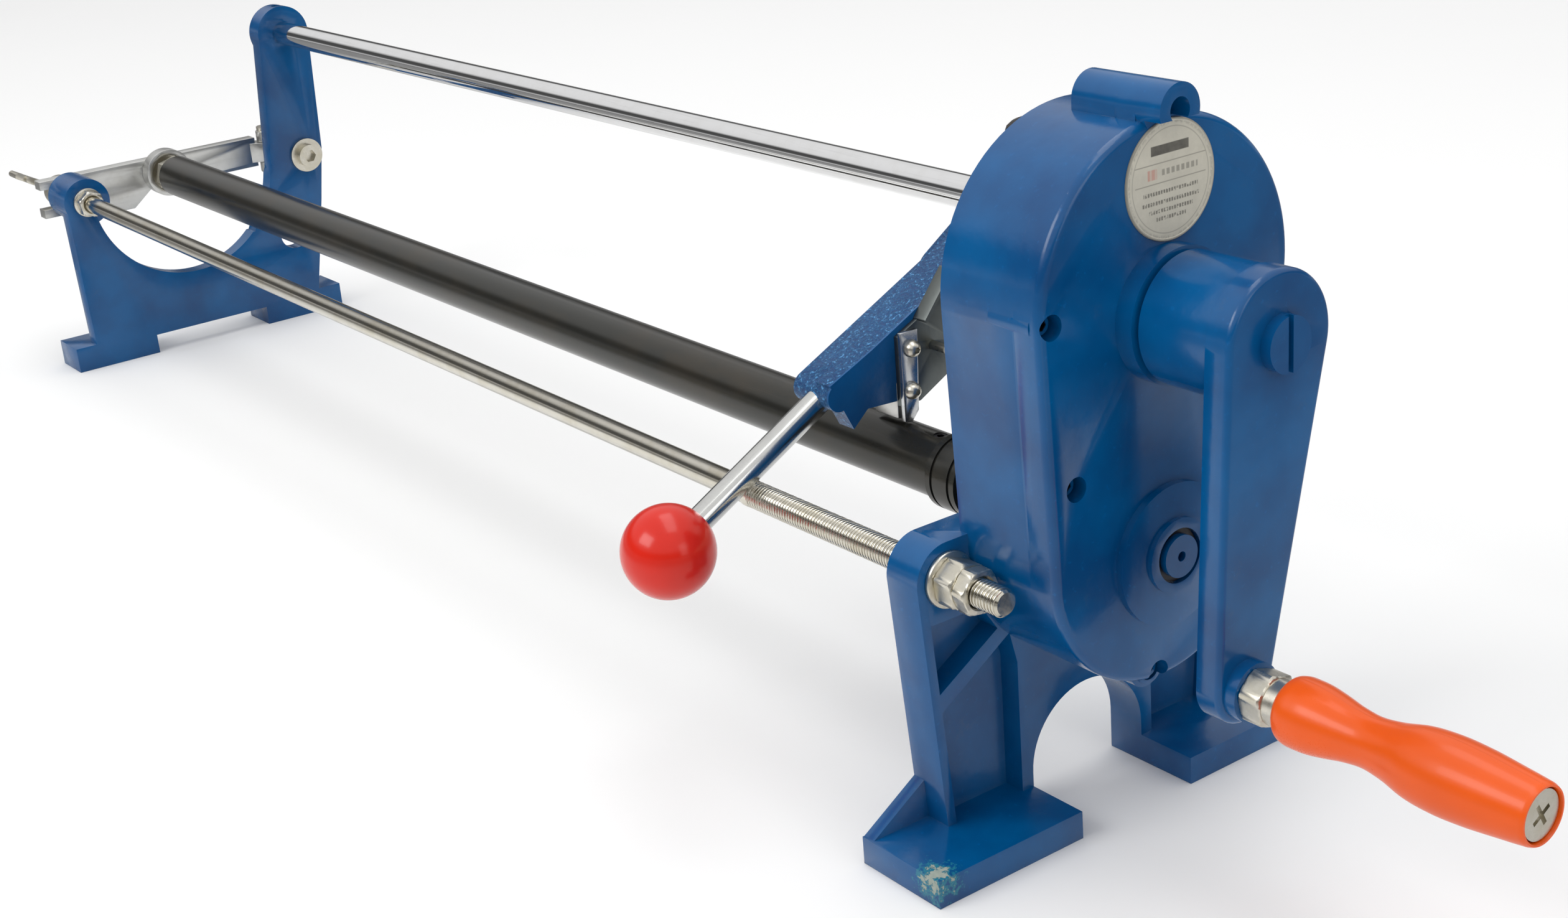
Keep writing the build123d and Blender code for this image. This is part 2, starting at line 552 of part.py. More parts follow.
# ---------------------------------------------------------------- far frame
FAR_FOOT_HIGH, CUT_R = 17, 66
FAR_FOOT_IN, FAR_FOOT_OUT = (-38.5, 46), (-97, 105.5)
BOLT = (95, 117)
with BuildPart() as far_frame:
    # Base web, front leg and rear arm.
    plate_x(FAR_BACK, FAR_FACE, [(-82, 13), (88, 13), (99.3, 70), (-83.4, 70)])
    plate_x(FAR_BACK, FAR_FACE, [(-82, 13), (-20, 13), (-20, 60), (-56, 117), (-84.5, 117)])
    rear_arm = [(20, 13), (88, 13), (101.7, 82), (108, 120), (110.9, 204), (73.5, 204), (67, 112)]
    plate_x(FAR_BACK, FAR_FACE, rear_arm)
    round_x(FAR_BACK, FAR_FACE, (0, 118), CUT_R, Mode.SUBTRACT)
    box_x(FAR_BACK, FAR_FACE, -40, 40, 72, 190, Mode.SUBTRACT)
    # Lug of the tie rod and boss of the guide rod.
    round_x(FAR_FOOT_BACK, FAR_FACE, TIE_ROD, 16)
    round_x(FAR_BACK - 3, FAR_FACE, GUIDE, FAR_BOSS_R)
    # Feet.
    box_x(FAR_FOOT_BACK, FAR_FACE, FAR_FOOT_OUT[0], FAR_FOOT_IN[0], 0, FAR_FOOT_HIGH)
    box_x(FAR_FOOT_BACK, FAR_FACE, FAR_FOOT_IN[1], FAR_FOOT_OUT[1], 0, FAR_FOOT_HIGH)
    # Holes.
    round_x(FAR_BACK, FAR_FACE, (77, 62), 11, Mode.SUBTRACT)
    round_x(FAR_FOOT_BACK, FAR_FACE, TIE_ROD, TIE_R, Mode.SUBTRACT)
    round_x(FAR_BACK, FAR_FACE, GUIDE, GUIDE_R, Mode.SUBTRACT)
    round_x(FAR_BACK, FAR_FACE, BOLT, 5, Mode.SUBTRACT)
    round_z(GUIDE[1], GUIDE[1] + 20, FAR_BACK + 6, GUIDE[0], SET_R, Mode.SUBTRACT)
keep(far_frame, "far_frame")

# ---------------------------------------------------------------- rods and their fasteners
with BuildPart() as front_tie_rod:
    round_x(STUD_END, -155, TIE_ROD, TIE_R)
    round_x(-155, 5, TIE_ROD, TIE_THREAD_R)
    chamfer(front_tie_rod.edges().filter_by(GeomType.CIRCLE).sort_by(Axis.X)[-1], 1)
    chamfer(front_tie_rod.edges().filter_by(GeomType.CIRCLE).sort_by(Axis.X)[0], 1)
keep(front_tie_rod, "front_tie_rod")

with BuildPart() as tie_rod_washers:
    ring_x(LEG_FRONT, LEG_FRONT + 2.5, TIE_ROD, 11.5, TIE_THREAD_R)
    ring_x(FAR_FACE, FAR_FACE + 2.5, TIE_ROD, 10, TIE_R)
keep(tie_rod_washers, "tie_rod_washers")

with BuildPart() as tie_rod_nuts:
    hex_x(LEG_FRONT + 2.5, LEG_FRONT + 12.5, TIE_ROD, 18, TIE_THREAD_R, turn=8)
    hex_x(LEG_FRONT + 12.6, LEG_FRONT + 19.5, TIE_ROD, 17, TIE_THREAD_R, turn=22)
    hex_x(FAR_FACE + 2.5, FAR_FACE + 10.5, TIE_ROD, 16, TIE_R, turn=10)
keep(tie_rod_nuts, "tie_rod_nuts")

with BuildPart() as rear_guide_rod:
    round_x(FAR_BACK, LEG_BACK + 12, GUIDE, GUIDE_R)
keep(rear_guide_rod, "rear_guide_rod")

with BuildPart() as guide_rod_set_screws:
    for station, top in ((FAR_BACK + 6, 17), (LEG_BACK + 6, 12)):
        set_screw(station, GUIDE[0], GUIDE[1] + GUIDE_R + 0.2, GUIDE[1] + top)
keep(guide_rod_set_screws, "guide_rod_set_screws")

# ---------------------------------------------------------------- gate and its hinge
EAR_LOW, EAR_HIGH, KNUCKLE = (104, 111.5), (126.5, 134), (112, 126)
BLOCK_BACK = -962
with BuildPart() as hinge_block:
    box_x(BLOCK_BACK, FAR_BACK, 88, 107, *(EAR_LOW[0], EAR_HIGH[1]))
    for low, high in (EAR_LOW, EAR_HIGH):
        with BuildSketch(Plane(origin=point(0, 0, low))) as ear:
            strap_face((HINGE_X, HINGE_Y), 7, (-955, 96), 6)
        extrude(ear.sketch, amount=high - low)
    round_z(EAR_LOW[0], EAR_HIGH[1], HINGE_X, HINGE_Y, 4, Mode.SUBTRACT)
    round_x(BLOCK_BACK, FAR_BACK, BOLT, 5, Mode.SUBTRACT)
keep(hinge_block, "hinge_block")

with BuildPart() as hinge_pin:
    round_z(EAR_LOW[0] - 2, EAR_HIGH[1], HINGE_X, HINGE_Y, 4)
    round_z(EAR_HIGH[1], EAR_HIGH[1] + 3, HINGE_X, HINGE_Y, 6)
keep(hinge_pin, "hinge_pin")

with BuildPart() as hinge_bolt:
    round_x(BLOCK_BACK - 2, FAR_FACE + 2, BOLT, 5)
    round_x(FAR_FACE + 2, FAR_FACE + 7, BOLT, 8)
    with BuildSketch(yz(FAR_FACE + 7)) as socket:
        with Locations(BOLT):
            RegularPolygon(4, 6, major_radius=False)
    extrude(socket.sketch, amount=-4, mode=Mode.SUBTRACT)
keep(hinge_bolt, "hinge_bolt")

with BuildPart() as hinge_bolt_washer:
    ring_x(FAR_FACE, FAR_FACE + 2, BOLT, 12, 5)
keep(hinge_bolt_washer, "hinge_bolt_washer")

GATE_BACK = HINGE_X - 10
with BuildPart() as gate_bar:
    lobe = [(-90, 130), (-90, 104), (-58, 104), (-46, 98), (-26, 98), (-12, 109), (71, 109), (71, 130)]
    plate_x(GATE_BACK, HINGE_X, lobe)
    with BuildSketch(Plane(origin=point(0, 0, KNUCKLE[0]))) as neck:
        strap_face((HINGE_X, HINGE_Y), 7, (HINGE_X - 5, 68), 5)
    extrude(neck.sketch, amount=KNUCKLE[1] - KNUCKLE[0])
    round_z(KNUCKLE[0], KNUCKLE[1], HINGE_X, HINGE_Y, 4 + GAP, Mode.SUBTRACT)
    box_x(GATE_BACK, HINGE_X, -90, TIE_ROD[0], TIE_ROD[1] - 7, TIE_ROD[1] + 7, Mode.SUBTRACT)
    round_x(GATE_BACK, HINGE_X, TIE_ROD, 7, Mode.SUBTRACT)
    round_x(GATE_BACK, HINGE_X, MANDREL, 5, Mode.SUBTRACT)
keep(gate_bar, "gate_bar")

with BuildPart() as tail_bearing_cup:
    ring_x(HINGE_X, CUP_FACE, MANDREL, 16.5, 12.5)
keep(tail_bearing_cup, "tail_bearing_cup")

with BuildPart() as tail_centre:
    round_x(GATE_BACK - 6, HINGE_X, MANDREL, 5)
    round_x(HINGE_X, HINGE_X + 5, MANDREL, 12.5)
    cone_x(HINGE_X + 5, NUT_FACE + 0.3, 5.6, 5.6)
    cone_x(NUT_FACE + 0.3, NUT_FACE + 8.4, 5.6, 0.9)
keep(tail_centre, "tail_centre")

with BuildPart() as tail_centre_nut:
    hex_x(GATE_BACK - 6, GATE_BACK, MANDREL, 16, 5)
keep(tail_centre_nut, "tail_centre_nut")

WING_TURN, WING_HALF, WING_ROOT, WING_KNEE, WING_END = 150, 2.2, 8, 24, 30


def along_wing(reach):
    """A point of the wings' middle line at a signed distance from the nut's axis."""
    turn = radians(WING_TURN)
    return (TIE_ROD[0] + reach * cos(turn), TIE_ROD[1] + reach * sin(turn))


with BuildPart() as wing_nut:
    round_x(GATE_BACK - 13, GATE_BACK, TIE_ROD, 11)
    for way in (-1, 1):
        root, knee, end = (along_wing(way * reach) for reach in (WING_ROOT, WING_KNEE, WING_END))
        strap_x(GATE_BACK - 24, GATE_BACK - 8, root, WING_HALF, knee, WING_HALF)
        strap_x(WING_TIP, GATE_BACK - 14, knee, WING_HALF, end, WING_HALF)
    round_x(WING_TIP, GATE_BACK, TIE_ROD, WING_BORE_R, Mode.SUBTRACT)
keep(wing_nut, "wing_nut")

# ---------------------------------------------------------------- carriage on the guide rod
with BuildPart() as carriage_sleeve:
    ring_x(HUB_BEHIND - 2, COLLAR_FRONT + 3, GUIDE, SLEEVE_R, SLEEVE_IN_R)
    round_z(GUIDE[1], GUIDE[1] + 15, KNOB_X, GUIDE[0], THREAD_R, Mode.SUBTRACT)
keep(carriage_sleeve, "carriage_sleeve")

with BuildPart() as carriage_collar:
    ring_x(COLLAR_BACK, COLLAR_FRONT, GUIDE, COLLAR_R, SLEEVE_R)
    round_z(GUIDE[1] + 14, BOSS_TOP, KNOB_X, GUIDE[0], STEM_R)
    round_z(GUIDE[1], BOSS_TOP, KNOB_X, GUIDE[0], THREAD_R, Mode.SUBTRACT)
    round_x(COLLAR_BACK, COLLAR_FRONT, GUIDE, SLEEVE_R, Mode.SUBTRACT)
keep(carriage_collar, "carriage_collar")

with BuildPart() as sleeve_circlips:
    ring_x(HUB_BEHIND - 2, HUB_BEHIND - 0.5, GUIDE, 14, SLEEVE_R)
    ring_x(COLLAR_FRONT, COLLAR_FRONT + 1.5, GUIDE, 14, SLEEVE_R)
keep(sleeve_circlips, "sleeve_circlips")

with BuildPart() as lock_knob:
    round_z(KNOB_LOW, KNOB_HIGH, KNOB_X, GUIDE[0], KNOB_R)
    fillet(lock_knob.faces().sort_by(Axis.Z)[-1].edges(), 4)
    round_z(BOSS_TOP + 0.5, KNOB_LOW, KNOB_X, GUIDE[0], STEM_R)
    round_z(GUIDE[1] + GUIDE_R + 0.2, KNOB_LOW, KNOB_X, GUIDE[0], THREAD_R - GAP)
keep(lock_knob, "lock_knob")

# ---------------------------------------------------------------- lever with its knife
SLOPE = atan2(44, 82.6)
ROD_START = (-20, 159.3)
with BuildPart() as cutter_lever:
    # Broad top flange from the handle socket to the hub.
    strap_x(LEVER_BACK, LEVER_FRONT, (-33, 154), 6.5, (58, 193), 11)
    strap_x(HUB_BEHIND, HUB_AHEAD, (45, 186), 10, GUIDE, HUB_R_LEVER)
    # Web with the knife seat.
    web = [(-38, 160), (-27, 138), (-19, 145), (-3, 144), (-3, 152), (20, 165), (62, 190), (20, 185)]
    plate_x(LEVER_FRONT - 10, LEVER_FRONT, web)
    round_x(HUB_BEHIND, HUB_AHEAD, GUIDE, SLEEVE_R + GAP, Mode.SUBTRACT)
    socket_plane = Plane(
        origin=point(LEVER_ROD_X, *ROD_START),
        x_dir=(1, 0, 0),
        z_dir=(0, -cos(SLOPE), -sin(SLOPE)),
    )
    with BuildSketch(socket_plane) as socket:
        Circle(LEVER_ROD_R)
    extrude(socket.sketch, amount=40, mode=Mode.SUBTRACT)
keep(cutter_lever, "cutter_lever")

ROD_LENGTH = hypot(ROD_START[0] - BALL[0], ROD_START[1] - BALL[1])
with BuildPart() as lever_rod:
    with BuildSketch(socket_plane) as section:
        Circle(LEVER_ROD_R)
    extrude(section.sketch, amount=ROD_LENGTH - 5)
keep(lever_rod, "lever_rod")

with BuildPart() as lever_ball:
    with Locations(point(LEVER_ROD_X, *BALL)):
        Sphere(BALL_R)
    with BuildSketch(socket_plane) as section:
        Circle(LEVER_ROD_R)
    extrude(section.sketch, amount=ROD_LENGTH - 5, mode=Mode.SUBTRACT)
keep(lever_ball, "lever_ball")

BLADE_TOP, BLADE_TIP = 141, MANDREL[1] + MANDREL_R + 0.4
KNIFE_SCREWS = [(3, 167), (2, 148.5)]
PIN_SPOT = (16, 165)
SEAT_BACK, SEAT_LOW = -151.5, 135.8
with BuildPart() as knife_bracket:
    right_edge = [(24.5, 150.5), (27, 165), (32, 183), (44, 190), (42, 194)]
    plate_x(LEVER_FRONT, LEVER_FRONT + 2.5, [(-2.8, 142), (8, 142), *right_edge, (-2.8, 173)])
    # Bent ear that stands over the plate's upper edge.
    strap_x(LEVER_FRONT, LEVER_FRONT + 8, (9, 178.5), 0.8, (24.5, 197), 0.8)
    for spot in KNIFE_SCREWS:
        round_x(LEVER_FRONT, LEVER_FRONT + 2.5, spot, 2.5, Mode.SUBTRACT)
    round_x(LEVER_FRONT, LEVER_FRONT + 2.5, PIN_SPOT, 2, Mode.SUBTRACT)
keep(knife_bracket, "knife_bracket")

with BuildPart() as knife_blade:
    edge = [(-2.8, 175), (-2.8, 135.5), (1, BLADE_TIP), (5, 139), (6.5, 175)]
    plate_x(LEVER_FRONT + 2.5, LEVER_FRONT + 4.5, edge)
    for spot in KNIFE_SCREWS:
        round_x(LEVER_FRONT + 2.5, LEVER_FRONT + 4.5, spot, 2.5, Mode.SUBTRACT)
keep(knife_blade, "knife_blade")

with BuildPart() as knife_seat:
    plate_x(SEAT_BACK, LEVER_FRONT, [(-3, SEAT_LOW), (8, SEAT_LOW), (8, 158.2), (-3, 152)])
keep(knife_seat, "knife_seat")

with BuildPart() as knife_screws:
    for spot in KNIFE_SCREWS:
        round_x(LEVER_FRONT, LEVER_FRONT + 4.5, spot, 2.5)
        round_x(LEVER_FRONT + 4.5, LEVER_FRONT + 8.5, spot, 3.8)
keep(knife_screws, "knife_screws")

with BuildPart() as knife_pin:
    round_x(LEVER_FRONT, LEVER_FRONT + 12, PIN_SPOT, 2)
keep(knife_pin, "knife_pin")

print(len(NODES), "nodes; feet at x", FEET_X, "mandrel axis at y", AXIS_Y)
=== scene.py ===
"""Looks of a hand-cranked bench cutter: a blue cast head with a crank and an orange grip, a long dark
mandrel, a chrome guide rod with a lever knife, a zinc tie rod and a far end frame with a swing gate."""

from functools import cache, partial
from math import asin, cos, pi, radians, sin, sqrt

import bmesh
import bpy
import numpy as np
from bpy.props import FloatProperty, FloatVectorProperty, IntProperty, PointerProperty
from bpy.types import Operator, Panel, PropertyGroup
from mathutils import Matrix, Vector


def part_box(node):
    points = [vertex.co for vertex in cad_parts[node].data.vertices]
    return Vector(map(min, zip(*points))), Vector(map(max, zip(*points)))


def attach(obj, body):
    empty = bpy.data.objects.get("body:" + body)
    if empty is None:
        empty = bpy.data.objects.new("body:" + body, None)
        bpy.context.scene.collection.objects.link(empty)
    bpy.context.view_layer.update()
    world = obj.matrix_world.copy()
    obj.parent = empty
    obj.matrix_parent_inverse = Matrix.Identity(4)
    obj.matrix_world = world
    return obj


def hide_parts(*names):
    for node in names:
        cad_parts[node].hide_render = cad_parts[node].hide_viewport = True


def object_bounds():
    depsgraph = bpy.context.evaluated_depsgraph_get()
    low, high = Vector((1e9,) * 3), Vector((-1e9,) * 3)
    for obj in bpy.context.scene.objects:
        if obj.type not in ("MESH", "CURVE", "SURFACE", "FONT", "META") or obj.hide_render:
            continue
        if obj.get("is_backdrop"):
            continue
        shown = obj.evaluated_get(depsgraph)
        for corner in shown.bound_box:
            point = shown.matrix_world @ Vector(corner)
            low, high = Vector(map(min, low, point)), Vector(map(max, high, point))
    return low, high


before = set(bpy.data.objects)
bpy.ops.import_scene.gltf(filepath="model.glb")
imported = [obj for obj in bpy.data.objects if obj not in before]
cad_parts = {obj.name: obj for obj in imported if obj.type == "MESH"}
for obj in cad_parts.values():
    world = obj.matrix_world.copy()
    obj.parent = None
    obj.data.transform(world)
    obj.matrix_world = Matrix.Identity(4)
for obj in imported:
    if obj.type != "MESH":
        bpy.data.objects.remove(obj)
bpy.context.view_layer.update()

bl_info = {
    "name": "Bench cutter",
    "version": (1, 0, 0),
    "blender": (4, 5, 0),
    "location": "View3D > Sidebar > Bench cutter",
    "description": "Dresses the packed bench cutter with its finished pieces and finishes",
    "category": "Add Mesh",
}

MM = 0.001
X_AXIS, Y_AXIS, Z_AXIS = Vector((1, 0, 0)), Vector((0, 1, 0)), Vector((0, 0, 1))
WELD = 2e-6


# ---- places read from the frame
def middle(node):
    """Middle of a CAD node's box."""
    low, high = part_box(node)
    return (low + high) / 2


def girth(node):
    """Radius of a round CAD node that lies along X."""
    return girth_of(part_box(node))


def girth_of(box):
    """Radius of the round body along X that fills a box."""
    low, high = box
    return (high.z - low.z) / 2


def back_middle(low, high):
    """Middle of a box's face of least X."""
    return Vector((low.x, (low.y + high.y) / 2, (low.z + high.z) / 2))


def run_of(node):
    """Both ends of the middle line of a long round CAD node, and its radius."""
    points = np.array([v.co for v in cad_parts[node].data.vertices])
    centre = (points.min(0) + points.max(0)) / 2
    away = points - centre
    along = np.linalg.svd(away, full_matrices=False)[2][0]
    reach = away @ along
    radius = np.linalg.norm(away - np.outer(reach, along), axis=1).max()
    return Vector(centre + along * reach.min()), Vector(centre + along * reach.max()), float(radius)


# ---- sizes and colours
def length(name, text, default):
    """A length property in metres."""
    return FloatProperty(
        name=name, description=text, default=default, min=0.0, subtype="DISTANCE", unit="LENGTH"
    )


def tint(name, text, default):
    """A colour property."""
    return FloatVectorProperty(
        name=name, description=text, default=default, size=3, min=0, max=1, subtype="COLOR"
    )


def tilt(name, text, degrees):
    """An angle property, from a default in degrees."""
    return FloatProperty(name=name, description=text, default=radians(degrees), subtype="ANGLE")


def power(name, text, watts):
    """A lamp's power."""
    return FloatProperty(name=name, description=text, default=watts, min=0.0, unit="POWER")


class CutterSizes(PropertyGroup):
    """Sizes of the finished pieces."""
    casting_round: length("Casting edges", "Rounding of the castings' edges", 1.3 * MM)
    small_round: length("Small edges", "Rounding of the small pieces' edges", 0.5 * MM)
    screw_socket: length("Socket", "Radius of a cover screw's hexagon socket", 2.3 * MM)
    thread_pitch: length("Thread pitch", "Pitch of the tie rod's threads", 1.75 * MM)
    thread_ridge: length("Thread ridge", "Height of a thread's ridge", 0.62 * MM)
    knob_flutes: IntProperty(
        name="Flutes", description="Flutes round the lock knob", default=24, min=3, max=60
    )
    plate_rim: length("Plate rim", "Width of the data plate's raised rim", 0.9 * MM)


class CutterColours(PropertyGroup):
    """Colours of the finishes."""
    enamel: tint("Enamel", "Blue enamel of the castings", (0.0, 0.090, 0.265))
    enamel_deep: tint("Deep enamel", "Blue where the enamel lies thick", (0.0, 0.054, 0.180))
    primer: tint("Primer", "Grey-green primer under a chip", (0.20, 0.27, 0.24))
    orange: tint("Grip", "Orange plastic of the grip", (0.86, 0.105, 0.003))
    red: tint("Ball", "Red plastic of the lever's ball", (0.70, 0.020, 0.008))
    zinc: tint("Zinc", "Zinc plating", (0.66, 0.63, 0.55))
    steel: tint("Steel", "Bare brushed steel", (0.62, 0.62, 0.60))
    black: tint("Black finish", "Blackened steel of the mandrel", (0.030, 0.030, 0.026))
    chrome: tint("Chrome", "Chrome of the guide rod", (0.80, 0.80, 0.80))
    card: tint("Plate", "Printed foil of the data plate", (0.56, 0.53, 0.44))
    knob: tint("Knob", "Black plastic of the lock knob", (0.022, 0.018, 0.015))


class CutterStage(PropertyGroup):
    """Camera, floor and light."""
    azimuth: tilt("Azimuth", "Turn of the camera", 54.84)
    elevation: tilt("Elevation", "Rise of the camera", 21.0)
    roll: tilt("Roll", "Tilt of the camera", -4.68)
    lens: FloatProperty(name="Lens", description="Focal length in millimetres", default=51.09, min=1)
    place: FloatVectorProperty(
        name="Place", description="Camera's place", default=(0.9674, -0.5451, 0.4648), size=3,
        subtype="TRANSLATION", unit="LENGTH"
    )
    floor: tint("Floor", "Pale floor", (0.90, 0.90, 0.895))
    sky: tint("Backdrop", "Pale backdrop", (0.97, 0.97, 0.975))
    key_power: power("Key light", "Power of the key light in watts", 36.0)
    fill_power: power("Fill light", "Power of the fill light in watts", 11.0)


# ---- finishes
def set_stops(ramp, stops):
    """Gives a colour ramp its stops. A new ramp has its first and last already."""
    first, *between, last = stops
    for stop, (spot, colour) in ((ramp.elements[0], first), (ramp.elements[1], last)):
        stop.position, stop.color = spot, (*colour, 1)
    for spot, colour in between:
        ramp.elements.new(spot).color = (*colour, 1)


class Nodes:
    """A node tree, and the one way that nodes come into it."""

    def __init__(self, tree):
        self.tree = tree

    def node(self, kind, settings=None, sockets=None):
        """Any node: its settings are set first, then the values or links of its sockets."""
        made = self.tree.nodes.new(kind)
        for key, value in (settings or {}).items():
            if key == "stops":
                set_stops(made.color_ramp, value)
            else:
                setattr(made, key, value)
        for key, value in (sockets or {}).items():
            source = value.socket if isinstance(value, Tone) else value
            if isinstance(source, bpy.types.NodeSocket):
                self.tree.links.new(source, made.inputs[key])
            else:
                made.inputs[key].default_value = source
        return made


class Tone:
    """A shader value that takes part in ordinary arithmetic."""

    def __init__(self, finish, socket):
        self.finish, self.socket = finish, socket

    def maths(self, operation, *others, clamp=False):
        """The value after a Math node, with the others on its further sockets."""
        values = {0: self, **{i + 1: other for i, other in enumerate(others)}}
        settings = {"operation": operation, "use_clamp": clamp}
        return Tone(self.finish, self.finish.node("ShaderNodeMath", settings, values).outputs[0])

    def __add__(self, other):
        return self.maths("ADD", other)

    def __sub__(self, other):
        return self.maths("SUBTRACT", other)

    def __mul__(self, other):
        return self.maths("MULTIPLY", other)

    def __truediv__(self, other):
        return self.maths("DIVIDE", other)

    def __pow__(self, other):
        return self.maths("POWER", other)

    def __lt__(self, other):
        return self.maths("LESS_THAN", other)

    def __rsub__(self, other):
        made = self.finish.node("ShaderNodeMath", {"operation": "SUBTRACT"}, {0: other, 1: self})
        return Tone(self.finish, made.outputs[0])

    def __abs__(self):
        return self.maths("ABSOLUTE")

    __radd__, __rmul__ = __add__, __mul__

    def held(self):
        """The value kept between 0 and 1."""
        return self.maths("ADD", 0.0, clamp=True)

    def edge(self, low, high):
        """Soft step from 0 at low to 1 at high."""
        return ((self - low) / (high - low)).held()


class Finish(Nodes):
    """A material built node by node."""

    def __init__(self, name):
        self.material = bpy.data.materials.new(name)
        self.material.use_nodes = True
        super().__init__(self.material.node_tree)
        self.tree.nodes.clear()
        self.place = Tone(self, self.node("ShaderNodeTexCoord").outputs["Object"])

    def axes(self, centre=(0, 0, 0)):
        """Object coordinates about a centre, as three values."""
        sockets = {"Vector": self.place, "Location": [-c for c in centre]}
        moved = self.node("ShaderNodeMapping", {"vector_type": "POINT"}, sockets)
        parts = self.node("ShaderNodeSeparateXYZ", None, {0: moved.outputs[0]})
        return [Tone(self, out) for out in parts.outputs]

    def noise(self, scale, detail=3.0, rough=0.5, stretch=(1, 1, 1), seed=0.0):
        """Fractal noise about 0.5, in features per metre, drawn out along axes of a small stretch."""
        sockets = {"Vector": self.place, "Scale": stretch, "Location": (seed,) * 3}
        moved = self.node("ShaderNodeMapping", None, sockets)
        sockets = {"Vector": moved.outputs[0], "Scale": scale, "Detail": detail, "Roughness": rough}
        return Tone(self, self.node("ShaderNodeTexNoise", None, sockets).outputs[0])

    def blend(self, factor, low, high):
        """Colour between low and high."""
        colours = [c if isinstance(c, Tone) else (*c, 1) for c in (low, high)]
        sockets = {0: factor, 6: colours[0], 7: colours[1]}
        return Tone(self, self.node("ShaderNodeMix", {"data_type": "RGBA"}, sockets).outputs[2])

    def done(self, colour, rough, metal=0.0, height=None, depth=0.1 * MM, **fixed):
        """Closes the material. height is a value about 0.5 that a Bump node raises by depth."""
        sockets = {"Roughness": rough, "Metallic": metal}
        sockets["Base Color"] = colour if isinstance(colour, Tone) else (*colour, 1)
        sockets.update(fixed)
        if height is not None:
            raised = {"Strength": 1.0, "Distance": depth, "Height": height}
            sockets["Normal"] = self.node("ShaderNodeBump", None, raised).outputs[0]
        shader = self.node("ShaderNodeBsdfPrincipled", None, sockets)
        self.node("ShaderNodeOutputMaterial", None, {"Surface": shader.outputs[0]})
        return self.material


def colours():
    """The colours that a user can change."""
    return bpy.context.scene.cutter_colours


def shade(colour, factor):
    """A colour made lighter or darker."""
    return tuple(min(1.0, c * factor) for c in colour)


ENAMEL_GLOSS = {"Coat Weight": 0.12, "Coat Roughness": 0.06, "Specular IOR Level": 0.42}
PLASTIC_GLOSS = {"Coat Weight": 0.1, "Coat Roughness": 0.06, "Specular IOR Level": 0.35}


def sanded(paint, colour, height, amount):
    """Grains of a rough cast skin, everywhere but on the lever's front face: raised grains are tinted lighter
    as painted highlight and sunken grains darker as painted shade.
    """
    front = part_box("cutter_lever")[1].x - 1 * MM
    sand = 0.5 + (paint.noise(620, 3, 0.7) - 0.5) * (paint.axes()[0] < front)
    light, dark = sand.edge(0.52, 0.62), sand.edge(0.48, 0.38)
    # painted highlight on the raised grains and painted shade in the sunken ones; the relief itself is real
    colour = paint.blend(light * amount, colour, (0.09, 0.33, 0.68))
    colour = paint.blend(dark * amount, colour, (0.0, 0.035, 0.15))
    return colour, height + light * 2.2 - dark


def chipped(paint, colour, sheen, height, place, reach=7 * MM):
    """A chip through the enamel to the primer, with a thin greenish edge."""
    x, y, z = paint.axes(place)
    away = ((x * x + y * y + z * z) ** 0.5) / reach
    torn = (paint.noise(300, 4, 0.75, seed=7.7) - 0.5) * 4.5
    bare = (0.75 - away + torn).edge(0.0, 0.10)
    ring = (1.35 - away + torn).edge(0.0, 0.30)
    primer = paint.blend(paint.noise(500, 3), colours().primer, (0.42, 0.44, 0.38))
    colour = paint.blend(bare, paint.blend(ring * 0.7, colour, (0.02, 0.22, 0.27)), primer)
    return colour, sheen + bare * 0.35, height - bare * 1.5


def enamel_finish(name, roughness=0.20, lumps=0.10, grain_highlight_and_shade=0.0, chip=None):
    """Gloss enamel over rough casting, with dust on it and an optional chip at a place."""
    paint = Finish(name)
    c = colours()
    wide, fine = paint.noise(28, 3), paint.noise(420, 4, 0.6)
    pits = paint.noise(1400, 2, 0.5)
    colour = paint.blend(wide.edge(0.35, 0.68), c.enamel, c.enamel_deep)
    colour = paint.blend(fine.edge(0.62, 0.80) * 0.35, colour, shade(c.enamel, 1.7))
    sheen = roughness + (wide - 0.5) * 0.10 + (pits - 0.5) * 0.06
    height = fine * 0.35 + paint.noise(150, 2) * 0.8 + paint.noise(55, 2, seed=4.0) * 1.6
    # rough grains whose colour carries painted highlight and painted shade
    if grain_highlight_and_shade:
        colour, height = sanded(paint, colour, height, grain_highlight_and_shade)
    dust = paint.noise(60, 5, 0.7, seed=3.1).edge(0.63, 0.80) * 0.22
    colour = paint.blend(dust, colour, (0.07, 0.10, 0.14))
    if chip is not None:
        colour, sheen, height = chipped(paint, colour, sheen, height, chip)
    return paint.done(colour, sheen, 0.0, height, lumps * MM, **ENAMEL_GLOSS)


def metal_finish(
    name, colour, rough, stain, stretch=(1, 1, 1), scratch=900, depth=0.012, amount=0.35, metal=1.0
):
    """Metal with brushing along one direction, blotches of a stain colour and small scratches."""
    plate = Finish(name)
    brush = plate.noise(scratch, 2, 0.6, stretch)
    blotch = plate.noise(70, 5, 0.65, seed=2.3)
    tone = plate.blend((blotch.edge(0.45, 0.75) * amount), colour, stain)
    tone = plate.blend(brush.edge(0.55, 0.85) * 0.25, tone, shade(colour, 0.55))
    sheen = rough + (brush - 0.5) * 0.16 + (blotch - 0.5) * 0.12
    return plate.done(tone, sheen, metal, brush + plate.noise(240, 3) * 0.4, depth * MM)


